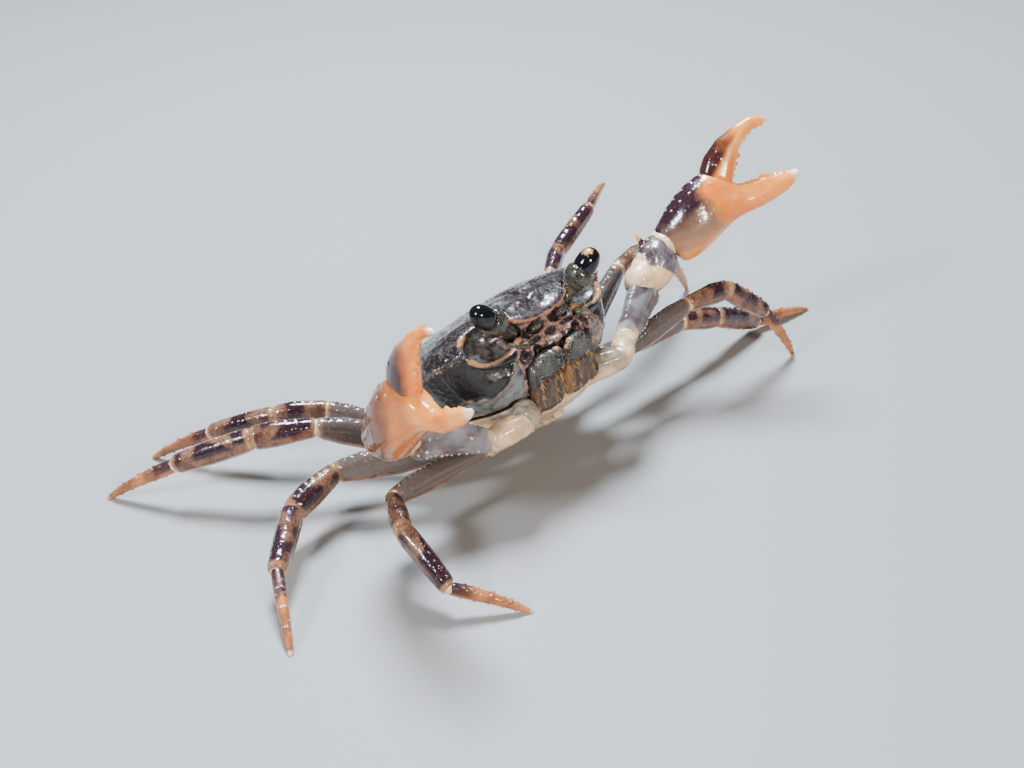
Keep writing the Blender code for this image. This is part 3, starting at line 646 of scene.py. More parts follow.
def cornea_finish():
    """Black, glossy surface of the eye with fine facets."""
    finish = Finish("wet_cornea")
    colour = finish.mix(finish.layer("cream"), (0.004, 0.004, 0.006), (0.6, 0.3, 0.1))
    finish.links.new(colour, finish.shader.inputs["Base Color"])
    wetness = finish.spread(finish.noise(0.3), 0.3, 0.7, 0.06, 0.14)
    finish.links.new(wetness, finish.shader.inputs["Roughness"])
    facets = finish.bump(finish.cells(0.09), 0.15, 0.02)
    finish.links.new(facets, finish.shader.inputs["Normal"])
    finish.set(Coat_Weight=1.0, Coat_Roughness=0.02, Coat_IOR=1.33, Specular_IOR_Level=0.25)
    return finish.material


FINISHES["eye"] = cornea_finish()


# Body

# Lines and hollows of the face, in the body's own axes
ORBIT_RIM = (
    (4.3, -9.8, -1.1), (4.9, -9.85, -1.6), (6.0, -9.8, -2.0), (7.5, -9.6, -2.1), (9.0, -9.2, -1.7),
    (10.1, -8.6, -0.85), (10.6, -8.1, 0.1), (10.5, -8.0, 0.9), (10.0, -7.95, 1.6), (9.3, -7.9, 2.05),
)
ORBIT_OPENING = ((8.3, -9.7, 0.7), (2.6, 2.3, 2.0))
ORBIT_HOLLOW = ((7.7, -9.9, 0.1), (3.4, 2.6, 2.2))
ORBIT_RIM_RADIUS = 0.32
FRONS_RIM = (
    (4.2, -9.0, 2.0), (4.45, -9.7, 1.5), (4.25, -10.35, 0.85), (3.3, -10.85, 0.2),
    (2.1, -11.0, -0.15), (1.0, -10.9, -0.33), (0.0, -10.76, -0.35),
)
FRONS_DROP = 0.55
CHEEK_RIDGE = (
    (12.5, -6.1, -0.6), (12.0, -5.75, -1.9), (11.2, -5.3, -3.7), (10.4, -6.2, -4.5), (9.2, -7.4, -5.0),
    (7.95, -8.4, -4.7), (7.0, -9.3, -3.9), (6.4, -9.5, -3.2), (6.0, -9.9, -2.4),
)
EPISTOME = (
    (5.6, -9.9, -2.2), (4.4, -10.2, -1.9), (2.9, -10.0, -2.1), (1.3, -10.0, -2.5),
    (0.5, -10.1, -2.75), (0.0, -10.3, -3.2),
)
FOSSA_SILL = (
    (4.5, -10.1, -1.0), (3.4, -10.1, -1.75), (1.6, -10.1, -1.75), (0.3, -10.1, -1.35),
    (0.0, -10.1, -0.5),
)
MOUTH_FRAME = (
    (5.6, -9.9, -2.2), (5.75, -9.8, -3.8), (5.3, -9.3, -5.2), (4.95, -8.9, -6.1), (4.95, -7.4, -7.5),
)

# Each panel: distance from the middle, height, half width and half height
FACE_PANELS = (
    (1.45, -0.85, 1.05, 0.65), (3.15, -1.05, 0.6, 0.6), (4.15, -0.4, 0.55, 0.85),
    (4.85, -3.2, 0.8, 0.75), (3.1, -3.1, 0.65, 0.6), (0.0, -2.1, 0.95, 0.38),
    (1.5, -3.5, 0.95, 0.6), (5.25, -4.75, 0.55, 0.6), (2.6, -2.1, 1.1, 0.3),
    (0.35, -4.2, 0.6, 0.6), (4.6, -1.9, 0.6, 0.35),
)

# Round the stomach, beside the heart, and between the front lobes
FURROWS = (
    ((8.2, -4.6, 0), (6.4, -2.4, 0), (4.4, -0.2, 0), (2.5, 1.0, 0), (2.0, 1.8, 0), (2.1, 2.9, 0),
     (2.9, 4.6, 0)),
    ((0.0, 1.5, 0), (1.2, 1.35, 0), (2.3, 1.2, 0)),
    ((0.0, -9.4, 0), (0.0, -7.6, 0), (0.25, -5.8, 0)),
)
FRONT_CREST = ((0.7, -7.4, 0), (2.2, -7.7, 0), (3.8, -7.2, 0))
STERNAL_GROOVES = (-4.6, -2.2, 0.6, 4.0)
TAIL_SEGMENT = 1.9


def line_gap(body, points):
    """Distance from a smooth line and from its mirror image."""
    halves = [[(side * x, y, z) for x, y, z in points] for side in (-1, 1)]
    return np.minimum(*(distance_to(body, smooth_line(half)) for half in halves))


def depth_in(body, form):
    """Distance from the middle of a rounded form on either side, 1 on its surface."""
    (x, y, z), (wide, deep, high) = form
    ax = np.abs(body[:, 0])
    return np.sqrt(((ax - x) / wide) ** 2 + ((body[:, 1] - y) / deep) ** 2
                   + ((body[:, 2] - z) / high) ** 2)


def plain_walls(skin):
    """Dome and side walls, away from the rims and sockets."""
    _, y, z = skin.body().T
    front = fade(y, -8.2, -6.2) * np.maximum(fade(z, 0.9, 1.8), fade(z, -0.6, -1.4))
    forehead = fade(z, 2.2, 2.8) * fade(y, -10.2, -9.4) * 0.5
    return highest(front, fade(y, -4.5, -3.0) * 0.7, forehead, 0.06)


def widen_orbits(piece):
    """Opens each eye socket up to its upper edge, and sets a round rim along its outer end."""
    (x, y, z), radii = ORBIT_OPENING
    rims = []
    for _, side in reversed(SIDES):
        cutter = add_ball(radii, body_point(side * x, y, z), body_turn())
        modify(piece, "BOOLEAN", operation="DIFFERENCE", object=cutter, solver="EXACT")
        bpy.data.objects.remove(cutter)
        for px, py, pz in smooth_line([(side * a, b, c) for a, b, c in ORBIT_RIM[5:]], 4):
            rims.append(add_ball((ORBIT_RIM_RADIUS,) * 3, body_point(px, py, pz)))
    join_to(piece, rims)


def bend_frons(skin):
    """Bends the front edge of the frons down over the hollows of the antennules."""
    x, y, z = skin.body().T
    drop = FRONS_DROP * fade(y, -9.3, -10.3) * fade(np.abs(x), 4.9, 4.1) * fade(z, -0.5, 0.0)
    skin.places -= skin.turn[:, 2] * drop[:, None]
    skin.update()


def above_cheek_ridge(ax, z):
    """Height above the ridge that borders the cheek."""
    ridge = CHEEK_RIDGE[::-1]
    return z - np.interp(ax, [x for x, _, _ in ridge], [height for _, _, height in ridge])


def face_panels(body):
    """Dark panels of the face, with uneven edges."""
    x, _, z = body.T
    uneven = 0.12 * mottle(body, 0.5, 24)
    panel = np.zeros(len(body))
    for px, pz, wide, tall in FACE_PANELS:
        gap = np.hypot((np.abs(x) - px) / wide, (z - pz) / tall) + uneven
        panel = np.maximum(panel, fade(gap, 1.3, 0.85))
    return panel


def build_carapace():
    piece = copy_node("carapace", "carapace_shell")
    widen_orbits(piece)
    refine(piece, *CARAPACE_MESH, plain_walls)
    skin = Skin(piece)
    bend_frons(skin)
    body = skin.body()
    x, y, z = body.T
    ax = np.abs(x)
    frons_gap = line_gap(body, FRONS_RIM)
    orbit_gap = line_gap(body, ORBIT_RIM)
    cheek_gap = line_gap(body, CHEEK_RIDGE)
    frame_gap = line_gap(body, MOUTH_FRAME)
    sill_gap = np.minimum(line_gap(body, EPISTOME), line_gap(body, FOSSA_SILL))

    # Regions: the back, the face with its panels, the cheek inside its ridge, and the pale wall below
    dorsal = fade(z, 0.4, 1.0)
    face = fade(y, -7.5, -8.6) * fade(ax, 6.2, 5.5) * fade(z, 0.2, -0.3)
    panel = face_panels(body) * face
    cheek = fade(y, -3.8, -5.0) * fade(ax, 5.4, 5.9) * fade(z, 0.35, 0.0)
    cheek *= fade(above_cheek_ridge(ax, z) + 0.12 * mottle(body, 0.6, 19), -0.2, 0.2)
    lower = fade(z, 0.0, -0.6) * (1 - cheek) * (1 - face)

    # Raised rims and ridges, sunk panels and furrows
    relief = 0.14 * bell(frons_gap, 0.26) + 0.16 * bell(cheek_gap, 0.32)
    relief += 0.2 * bell(sill_gap, 0.24) + face * (0.07 * mottle(body, 0.45, 9) - 0.12 * panel)
    relief += 0.12 * bell(orbit_gap, 0.35) + 0.16 * bell(frame_gap, 0.24)
    relief += dorsal * (0.015 * mottle(body, 0.9, 8) + 0.008 * mottle(body, 0.35, 7))
    relief += 0.03 * lower * mottle(body * (1, 1, 3), 0.9, 10)
    flat = body * (1, 1, 0)
    for furrow in FURROWS:
        relief -= 0.24 * dorsal * bell(line_gap(flat, furrow), 0.45)
    relief += 0.12 * dorsal * bell(line_gap(flat, FRONT_CREST), 0.4)
    skin.raise_by(relief)
    skin.update()

    # Granules: a row along the front margin, fine ones on the cheeks, and low ones on the front lobes
    inside = np.minimum(depth_in(body, ORBIT_OPENING), depth_in(body, ORBIT_HOLLOW))
    socket = fade(inside, 1.12, 1.02) * fade(orbit_gap, 0.25, 0.4)
    edge = bell(z - 0.3, 0.3) * fade(y, 2.5, 0.0) * fade(y, -9.6, -8.4)
    cheek *= 1 - socket
    rough = dorsal * np.maximum(fade(y, -2.0, -8.0), fade(ax, 7.0, 11.0)) * (1 - socket)
    skin.grains(0.44, 0.21, 0.12, 0.95 * edge * (1 - socket), 11)
    skin.grains(0.36, 0.13, 0.02, 0.55 * cheek * fade(cheek_gap, 0.3, 0.6), 13)
    skin.grains(0.48, 0.17, 0.05, 0.5 * rough, 14)
    skin.layers["grain"] *= 0.2 + 0.5 * edge + 0.06 * cheek

    # Colours
    flecks = mottle(body * (1, 0.6, 1), 0.32, 15) + 0.6 * mottle(body, 1.6, 16)
    spots = dorsal * (1 - socket) * fade(flecks, 0.0, 0.4)
    # flank: dark side wall just under the widest margin, partly the shell's own dark colour and partly
    # painted shadow under the overhanging margin
    flank = fade(ax, 10.7, 11.6) * fade(z, -4.9, -4.1) * fade(z, 0.2, 0.0) * fade(y, -1.0, -3.5)
    dark = highest(0.85 * cheek, 0.85 * flank, 0.4 * panel, 0.85 * spots, 0.35 * socket)
    soft_gap = cheek_gap + 0.12 * mottle(body, 0.5, 21)
    ridges = np.maximum(face * (1 - panel) * fade(z, -7.0, -6.0), 0.6 * fade(soft_gap, 0.6, 0.1))
    wall = lower * (1 - flank) * (0.65 + 0.2 * mottle(body * (1, 1, 2.5), 1.3, 18))
    skin.paint(
        rim=fade(frons_gap, 0.34, 0.16),
        cream=np.maximum(fade(orbit_gap, 0.42, 0.26), 0.4 * fade(soft_gap, 0.45, 0.05)),
        dark=dark * fade(frame_gap, 0.1, 0.3) * fade(orbit_gap, 0.24, 0.4),
        pink=np.maximum(ridges, 0.9 * fade(frame_gap, 0.4, 0.2)),
        # painted shade: the pale wall is left off on the crab's left side, from x 5 to 9.5 mm, to darken
        # the side that the lamps light more strongly
        pale=np.maximum(wall * fade(frame_gap, 0.2, 0.45) * fade(x, 9.5, 5.0), 0.3 * socket))
    skin.finish(FINISHES["shell"], "shell", "carapace")


def build_thorax():
    piece = copy_node("thorax", "thorax_underside")
    refine(piece, *THORAX_MESH)
    skin = Skin(piece)
    body = skin.body()
    x, y, z = body.T
    ax = np.abs(x)
    groove = np.zeros(skin.count)
    for place in STERNAL_GROOVES:
        bend = y - place + 0.25 * (ax - 4.0)
        groove = np.maximum(groove, bell(bend, 0.22) * fade(ax, 1.6, 2.4) * fade(z, -7.0, -8.5))
    skin.raise_by(0.02 * mottle(body, 1.2, 41) - 0.18 * groove)
    front = fade(y + 0.6 * mottle(body, 1.0, 44), -3.0, -6.0) * fade(z, -10.2, -8.6)
    skin.paint(
        dark=np.maximum(0.55 * groove, 0.45 * fade(z, -8.0, -6.4)),
        cream=0.5 * fade(mottle(body, 2.0, 5), 0, 1),
        pale=0.65 * front)
    skin.finish(FINISHES["belly"], "belly", "thorax")


def build_tail_flap():
    """Flap of the tail, seamed across, with its rear end tucked under the edge of the shell."""
    piece = copy_node("abdomen", "tail_flap")
    refine(piece, *TAIL_FLAP_MESH)
    skin = Skin(piece)
    body = skin.body()
    _, y, z = body.T
    tuck = fade(y, 8.6, 10.8)
    skin.places += np.outer(-0.95 * tuck, skin.turn[:, 1]) + np.outer(0.4 * tuck, skin.turn[:, 2])
    skin.update()
    length = y - 0.35 * z
    seam = bell(np.abs((length + 0.35) % TAIL_SEGMENT - TAIL_SEGMENT / 2), 0.16)
    skin.raise_by(0.05 + 0.008 * mottle(body, 0.6, 42) - 0.16 * seam)
    rear = fade(y + 0.25 * mottle(body, 0.7, 43), 9.2, 9.9)
    skin.paint(
        cream=0.3 * fade(mottle(body, 1.5, 6), 0, 1),
        pink=rear,
        dark=highest(0.55 * seam, 0.3 * fade(mottle(body, 0.8, 7), 0.2, 1), 0.8 * rear))
    skin.finish(FINISHES["belly"], "belly", "abdomen")


# Mouth

# Plane of the outer mouth legs, beads of their palps, and lines of bristles with their number
MOUTH_TOP = np.array((0.0, -10.05, -3.9))
MOUTH_SLOPE = math.radians(56.3)
MOUTH_DOWN = np.array((0.0, math.cos(MOUTH_SLOPE), -math.sin(MOUTH_SLOPE)))
MOUTH_OUT = np.array((0.0, -math.sin(MOUTH_SLOPE), -math.cos(MOUTH_SLOPE)))
PALP_BEADS = ((1.2, 0.25, 0.55), (0.75, 0.7, 0.5), (0.6, 1.4, 0.42), (0.75, 2.0, 0.32))
BRISTLE_LINES = (
    ((4.3, 3.0), (4.2, 7.0), 8),
    ((0.35, 3.2), (0.5, 7.2), 9),
    ((0.5, 3.0), (4.2, 2.8), 8),
    ((1.6, 3.4), (1.9, 6.4), 6),
)


def mouth_point(u, v, out):
    """Place of a point on the slope of the mouth."""
    return body_point(*(MOUTH_TOP + np.array((u, 0, 0)) + MOUTH_DOWN * v + MOUTH_OUT * out))


def add_bristles(shell, name, side):
    """Short golden bristles along the edges of the mouth leg."""
    rng = np.random.default_rng(5)
    down, out = Vector(MOUTH_DOWN), Vector(MOUTH_OUT)
    turn = body_turn()
    bristles = []
    for start, end, count in BRISTLE_LINES:
        for share in rng.uniform(0, 1, count):
            u, v = (a + (b - a) * share + rng.normal(0, 0.12) for a, b in zip(start, end))
            above = mouth_point(side * u, v, 3.0)
            found, place, _, _ = shell.ray_cast(above * MM, -(turn @ out))
            if not found:
                continue
            bend = down * rng.uniform(0.5, 1.3)
            splay = Vector((side * rng.normal(0, 0.5), 0, 0))
            way = (turn @ (out + bend + splay)).normalized()
            height = rng.uniform(0.4, 0.9)
            bpy.ops.mesh.primitive_cone_add(
                vertices=5, radius1=0.03 * MM, radius2=0.008 * MM, depth=height * MM,
                location=place + way * (0.42 * height * MM),
                rotation=way.to_track_quat("Z", "Y").to_euler())
            bristles.append(bpy.context.object)
    piece = join_new(f"mouth_bristles_{name}", bristles)
    bpy.ops.object.mode_set(mode="EDIT")
    bpy.ops.mesh.select_all(action="SELECT")
    bpy.ops.uv.smart_project()
    bpy.ops.object.mode_set(mode="OBJECT")
    piece.data.uv_layers[0].name = "OFBake"
    skin = Skin(piece)
    skin.paint(pink=np.ones(skin.count))
    skin.finish(FINISHES["bristle"], "mouth", None)


def mouth_softness(skin):
    """The lower joint is smoothed more than the upper one with its palp."""
    return fade((skin.body() - MOUTH_TOP) @ MOUTH_DOWN, 1.0, 3.2) * 0.6 + 0.4


def build_mouth_leg(name, side):
    piece = copy_node(f"maxilliped_{name}", f"mouth_leg_{name}")
    join_to(piece, [add_ball((size,) * 3, mouth_point(side * u, v, 0.5), segments=12, rings=8)
                    for u, v, size in PALP_BEADS])
    refine(piece, *MOUTH_LEG_MESH, mouth_softness)
    skin = Skin(piece)
    offset = skin.body() - MOUTH_TOP
    u, v, out = side * offset[:, 0], offset @ MOUTH_DOWN, offset @ MOUTH_OUT
    merus = np.hypot(((u - 2.3) / 1.75) ** 2, ((v - 1.35) / 1.45) ** 2)
    centre = fade(merus, 1.15, 0.95) * fade(v, 2.9, 2.6)
    palp = bell(np.hypot(u - 0.75, v - 1.0), 0.75) * fade(out, 0.5, 0.75)
    groove = bell(u - 1.3 - 0.05 * v, 0.16) * fade(v, 3.0, 3.4) * fade(v, 6.4, 5.8)
    lower = fade(v, 2.7, 3.0)
    skin.raise_by(0.12 + 0.1 * lower - 0.1 * centre - 0.12 * groove + 0.03 * mottle(skin.places, 0.5, 22))
    skin.update()
    skin.grains(0.34, 0.14, 0.05, 0.6 * centre, 21)
    streaks = mottle(np.stack((1.6 * u, 0.5 * v, out), axis=1), 0.9, 23)
    amber = np.maximum(0.22 + 0.25 * streaks, 0.65 * fade(u + 0.2 * streaks, 1.5, 0.5))
    skin.paint(
        cream=0.75 * lower,
        pale=lower * amber,
        pink=(1 - centre) * (1 - lower) * (1 - palp) * fade(u, 4.3, 3.9),
        dark=np.maximum(palp, 0.7 * groove))
    skin.finish(FINISHES["mouth"], "mouth", f"maxilliped_{name}")
    add_bristles(piece, name, side)


def build_eyestalk(name, root, along):
    """Stalk that is ribbed at its root and swells under the cornea."""
    piece = copy_node(f"eyestalk_{name}", f"eyestalk_shell_{name}")
    refine(piece, *EYESTALK_MESH)
    skin = Skin(piece)
    reach = (skin.places - root) @ along
    skin.raise_by(0.1 + 0.42 * fade(reach, 0.8, 2.4) * fade(reach, 4.6, 3.6)
                  + 0.03 * np.sin(reach * math.tau / 0.75) * fade(reach, 2.8, 1.8))
    skin.places += along * (0.2 * fade(reach, 2.5, 3.0))[:, None]
    skin.update()
    skin.grains(0.32, 0.11, 0.015, np.full(skin.count, 0.2), 31)
    skin.paint(dark=0.7 * fade(reach, 2.8, 3.8))
    skin.finish(FINISHES["stalk"], "stalk", f"eyestalk_{name}")


def build_cornea(name, root, along):
    """Glossy end of the eye; the left one has a small orange spot at its top."""
    piece = copy_node(f"eye_{name}", f"cornea_{name}")
    refine(piece, *CORNEA_MESH)
    skin = Skin(piece)
    skin.raise_by(np.full(skin.count, 0.06))
    if name == "left":
        top = root + along * 6.0 + np.array((-0.95, 0.1, 0.1))
        gap = np.linalg.norm(skin.places - top, axis=1) + 0.15 * mottle(skin.places, 0.3, 33)
        skin.paint(cream=fade(gap, 0.62, 0.4))
    skin.finish(FINISHES["eye"], "eye", f"eye_{name}")


def build_feelers(name, side):
    for part in ("antenna", "antennule"):
        piece = copy_node(f"{part}_{name}", f"{part}_feeler_{name}")
        refine(piece, *FEELER_MESH)
        skin = Skin(piece)
        x = side * skin.body()[:, 0]
        skin.raise_by(0.02 * np.sin(x * math.tau / 0.3))
        skin.paint(cream=0.5 * fade(mottle(skin.places, 0.4, 34), 0.0, 0.8))
        skin.finish(FINISHES["stalk"], "stalk", f"{part}_{name}")


def build_eye(name, side):
    x, y, z = EYE_ROOT
    root = np.array(body_point(side * x, y, z))
    along = np.array(Vector(EYE_POSE[name]).normalized())
    build_eyestalk(name, root, along)
    build_cornea(name, root, along)
    build_feelers(name, side)


# Walking legs

# How far each piece is smoothed and swollen, and the radii of the joint skins
LEG_SOFTNESS = {"merus": 0.42, "carpus": 0.38, "propodus": 0.34, "dactylus": 0.15}
LEG_SWELL = {"merus": 0.16, "carpus": 0.25, "propodus": 0.28, "dactylus": 0.07}
LEG_STOUTNESS = {2: 0.9, 3: 1.03, 4: 1.03, 5: 0.92}
LEG_JOINT_RADII = (0.9, 0.92, 0.88, 0.72)
NEAREST_LEG = (3, "right")
NEAREST_LEG_SWELL = 1.35


def add_joint_skins(name, joints, radii, ribs=0.03):
    """Soft ribbed skin that bridges the shell pieces of a limb at each joint."""
    balls = [add_ball((radius,) * 3, joint, segments=28, rings=18)
             for joint, radius in zip(joints, radii)]
    piece = join_new(name, balls)
    refine(piece, *JOINT_SKIN_MESH)
    skin = Skin(piece)
    offsets = [skin.places - np.array(joint) - (0.4, 0.2, 0) for joint in joints]
    nearest = np.min([np.linalg.norm(offset, axis=1) for offset in offsets], axis=0)
    skin.raise_by(0.03 * mottle(skin.places, 0.4, 71) + ribs * np.sin(nearest * math.tau / 0.45))
    skin.paint(
        rim=0.4 * fade(mottle(skin.places, 0.7, 72), 0.0, 0.6),
        cream=np.full(skin.count, 0.5))
    skin.finish(FINISHES["belly"], "belly", None)


def leg_spines(piece, part, start, end):
    if part == "merus":
        return (spine_row(piece, start, end, 0, spaced(0.3, 0.86, 11), 0.15, 0.16)
                + spine_row(piece, start, end, 0, (0.92,), 0.2, 0.4))
    if part == "carpus":
        return spine_row(piece, start, end, 8, spaced(0.3, 0.9, 5), 0.15, 0.15)
    if part == "propodus":
        return (spine_row(piece, start, end, 0, spaced(0.15, 0.9, 7), 0.14, 0.2)
                + spine_row(piece, start, end, 180, spaced(0.4, 0.93, 4), 0.13, 0.26))
    return [spine for angle in (28, -28, 152, -152)
            for spine in spine_row(piece, start, end, angle, spaced(0.16, 0.8, 5), 0.11, 0.28, 0.8)]


def paint_leg_tip(skin, share, top, blotch):
    dark = 0.85 * fade(top, -0.6, 0.2) * fade(share + 0.12 * blotch, 0.5, 0.15)
    skin.paint(dark=dark, pale=fade(share, 0.94, 1.0))


def paint_leg_joint(skin, part, share, top, blotch):
    """Dark blotches above, orange below, cream at both ends, and a greyer side on the merus."""
    merus = 1.0 if part == "merus" else 0.0
    upper = fade(top, -0.3, 0.35)
    under = fade(top, -0.35, -0.75)
    ends = np.maximum(fade(share, 0.1, 0.02), fade(share, 0.92, 0.99))
    skin.paint(
        dark=(1 - 0.45 * merus) * upper * fade(blotch, -0.6, 0.35) * (1 - ends),
        cream=0.7 * ends * (1 - upper * 0.5),
        rim=0.6 * under * fade(blotch, 0.6, -0.4),
        pale=0.9 * merus * (1 - ends) * fade(top, -0.8, -0.2))


def build_leg_part(pair, name, part, start, end, seed, number):
    label = f"leg{pair}_{name}_{part}"
    slot = "leg_tip" if part == "dactylus" else "leg"
    piece = copy_node(label, label + "_shell")
    refine(piece, LIMB_SPACING, LEG_SOFTNESS[part])
    skin = Skin(piece)
    stout = NEAREST_LEG_SWELL if (pair, name) == NEAREST_LEG else 1.0
    skin.raise_by(np.full(skin.count, LEG_SWELL[part] * stout))
    skin.update()
    spines = leg_spines(piece, part, start, end)
    add_spines(piece, spines)
    refine(piece, *SPINED_LEG_MESH)

    skin = Skin(piece)
    skin.places[:, 2] = np.maximum(skin.places[:, 2], 0.0)
    share, top, _ = skin.limb(start, end)
    blotch = mottle(skin.places, 2.0, seed + number)
    if part == "dactylus":
        paint_leg_tip(skin, share, top, blotch)
    else:
        furrow = bell(top, 0.3) * fade(share, 0.05, 0.25) * fade(share, 0.95, 0.75)
        skin.raise_by(-0.07 * furrow + 0.01 * mottle(skin.places, 0.5, seed))
        skin.update()
        skin.grains(0.42, 0.14, 0.035, 0.15 * fade(top, -0.3, 0.35), seed + number + 100)
        skin.layers["grain"] *= 0.4
        skin.mark(spines, 0.6)
        paint_leg_joint(skin, part, share, top, blotch)
    skin.finish(FINISHES[slot], slot, label)


def build_leg(pair, name):
    path = limb_path(pair, name)
    seed = pair * 10 + (1 if name == "left" else 2)
    for number, part in enumerate(LEG_PARTS):
        build_leg_part(pair, name, part, path[number + 1], path[number + 2], seed, number)
    radii = [radius * LEG_STOUTNESS[pair] for radius in LEG_JOINT_RADII]
    add_joint_skins(f"leg{pair}_{name}_joint_skin", path[1:-1], radii)


# Claws

# Pieces of the arm with their slot and smoothing, then angles from straight up towards the front
ARM_PARTS = (("ischium", "belly", 0.45), ("merus", "arm", 0.6), ("carpus", "arm", 0.7))
MERUS_EDGES = (-10, 108, -130)
CARPUS_ROWS = (-64, -44, -24, -4)
CARPUS_SPIKE = -40

# Radii and place of the cream lump, and radii of the joint skins
CARPUS_LUMP = ((1.75, 1.75, 1.95), (-0.95, 0.0, 1.15))
CLAW_JOINT_RADII = {"left": (1.25, 1.3, 1.6, 1.95), "right": (1.25, 1.3, 1.3, 1.35)}

# Distance from the wrist and height: middle line of the movable finger, and edge of the fixed one
FINGER_PATH = (
    (9.75, 3.8), (10.8, 5.05), (12.2, 6.4), (14.1, 7.35), (15.9, 7.6), (17.1, 7.35), (17.85, 6.9),
)
FIXED_FINGER = ((11.6, 0.1), (14.2, -0.3), (16.0, -0.45), (17.6, -0.5))
FINGER_ROOT = 9.75
PALM_FACE = (0.64, 0.77)

# Teeth on each edge, rows of tubercles on the palm, and single ones at the finger's root
TEETH = 13
PALM_ROWS = (-34, -12, 10, 32)
FINGER_TUBERCLES = ((0.1, -20), (0.22, 12), (0.38, -6), (0.5, 24), (0.72, 4), (0.86, -16))


def arm_measures(skin, start, end, side):
    """Share of the length, how far each point faces up, and its angle towards the front."""
    share, top, across = skin.limb(start, end)
    return share, top, side * np.degrees(np.arctan2(across, top))


def shape_arm_part(piece, name, part, start, end, side, number):
    """Keels along the merus, and a swollen carpus that is slimmer on the smaller claw."""
    skin = Skin(piece)
    share, _, angle = arm_measures(skin, start, end, side)
    swell = np.full(skin.count, 0.12)
    if part == "merus":
        edges = sum(bell(angle - edge, 17) for edge in MERUS_EDGES)
        swell += (0.36 * edges - 0.1) * fade(share, 0.12, 0.35)
    if part == "carpus" and name == "left":
        swell += 0.1 + 0.12 * bell(angle - 20, 30)
    if part == "carpus" and name == "right":
        swell -= 0.35
        skin.places[:, 2] += 0.7 * fade(skin.places[:, 2], start.z + 1.0, start.z - 2.5)
    skin.raise_by(swell + 0.04 * mottle(skin.places, 1.0, 50 + number))
    skin.update()


def carpus_spines(piece, start, end, side):
    """Rows of low tubercles, and one long spike at the inner corner, which comes last."""
    spines = []
    for angle in CARPUS_ROWS:
        spines += spine_row(piece, start, end, side * angle, spaced(0.35, 0.9, 4), 0.2, 0.16)
    return spines + spine_row(piece, start, end, side * CARPUS_SPIKE, (0.8,), 0.45, 1.4)


def paint_merus(skin, share, angle, mottled):
    """Beads along two of the edges, grey sides, and cream and orange ends."""
    edge = sum(bell(angle - place, 6) for place in MERUS_EDGES[:2]) * fade(share, 0.1, 0.2)
    skin.grains(0.46, 0.21, 0.12, np.where(edge > 0.5, edge, 0), 52)
    skin.paint(
        cream=0.8 * fade(share, 0.2, 0.04),
        pale=0.8 * fade(mottled, -0.6, 0.6),
        rim=0.5 * fade(share, 0.94, 1.0))


def paint_carpus(skin, name, start, end, side, spines, mottled):
    """Dark crest and brown mottling round a cream lump, with an orange spike."""
    share, top, angle = arm_measures(skin, start, end, side)
    skin.grains(0.4, 0.13, 0.03, 0.15 * fade(top, 0.1, 0.5), 51)
    skin.layers["grain"] *= 0.4
    skin.mark(spines[:-1], 0.7)
    _, across, up = (np.array(v) for v in frame_along(end - start))
    turn = math.radians(CARPUS_SPIKE)
    way = up * math.cos(turn) + across * side * math.sin(turn)
    spike = fade((skin.places - np.array(start.lerp(end, 0.8))) @ way, 2.9, 3.2)
    if name == "right":
        spike = np.maximum(spike, fade(share, 0.2, 0.5))
    crest = bell(angle - CARPUS_SPIKE, 34) * fade(share, 0.2, 0.5)
    lump = fade(share + 0.12 * mottled, 0.55, 0.42) * fade(np.abs(angle - 20), 110, 80)
    brown = 0.45 + 0.25 * mottled
    skin.paint(
        dark=np.maximum(0.95 * crest, brown) * (1 - lump) * (1 - spike),
        cream=lump,
        rim=spike,
        pale=0.4 * fade(mottled, 0.0, 0.6))


def build_arm(name, side, path):
    for number, (part, slot, softness) in enumerate(ARM_PARTS):
        label = f"claw_{name}_{part}"
        start, end = path[number + 1], path[number + 2]
        piece = copy_node(label, label + "_shell")
        if (name, part) == ("left", "carpus"):
            radii, place = CARPUS_LUMP
            join_to(piece, [add_ball(radii, start + Vector(place))])
        refine(piece, LIMB_SPACING, softness)
        shape_arm_part(piece, name, part, start, end, side, number)
        spines = carpus_spines(piece, start, end, side) if part == "carpus" else []
        add_spines(piece, spines)
        refine(piece, *SPINED_CLAW_MESH)

        skin = Skin(piece)
        share, _, angle = arm_measures(skin, start, end, side)
        mottled = mottle(skin.places, 1.6, 55 + number)
        if part == "ischium":
            skin.paint(cream=0.5 + 0.3 * mottled, rim=0.4 * fade(share, 0.88, 1.0))
        elif part == "merus":
            paint_merus(skin, share, angle, mottled)
        else:
            paint_carpus(skin, name, start, end, side, spines, mottled)
        skin.finish(FINISHES[slot], slot, label)


class Hand:
    """Palm and fingers of one claw, measured from its wrist."""

    def __init__(self, name, side, origin):
        self.name = name
        self.origin = origin
        self.lean = -side * CLAW_POSES[name]["lean"]
        self.axes = frame_along(heading(side, *CLAW_POSES[name]["chela"]), self.lean)
        self.along, self.across, self.up = (np.array(v) for v in self.axes)

    def measures(self, skin):
        """Distance along the claw, height above its middle line, and distance across it."""
        offset = skin.places - np.array(self.origin)
        return offset @ self.along, offset @ self.up, offset @ self.across

    def point(self, distance, height):
        along, _, up = self.axes
        return self.origin + along * distance + up * height


def shift_from_curve(flat, line, grow):
    """Shift of flat places away from the nearest point of a curve, grow times their distance."""
    curve = np.array(smooth_line([(d, h, 0.0) for d, h in line]))[:, :2]
    gaps = np.linalg.norm(flat[:, None, :] - curve[None], axis=2)
    return (flat - curve[np.argmin(gaps, axis=1)]) * grow[:, None]


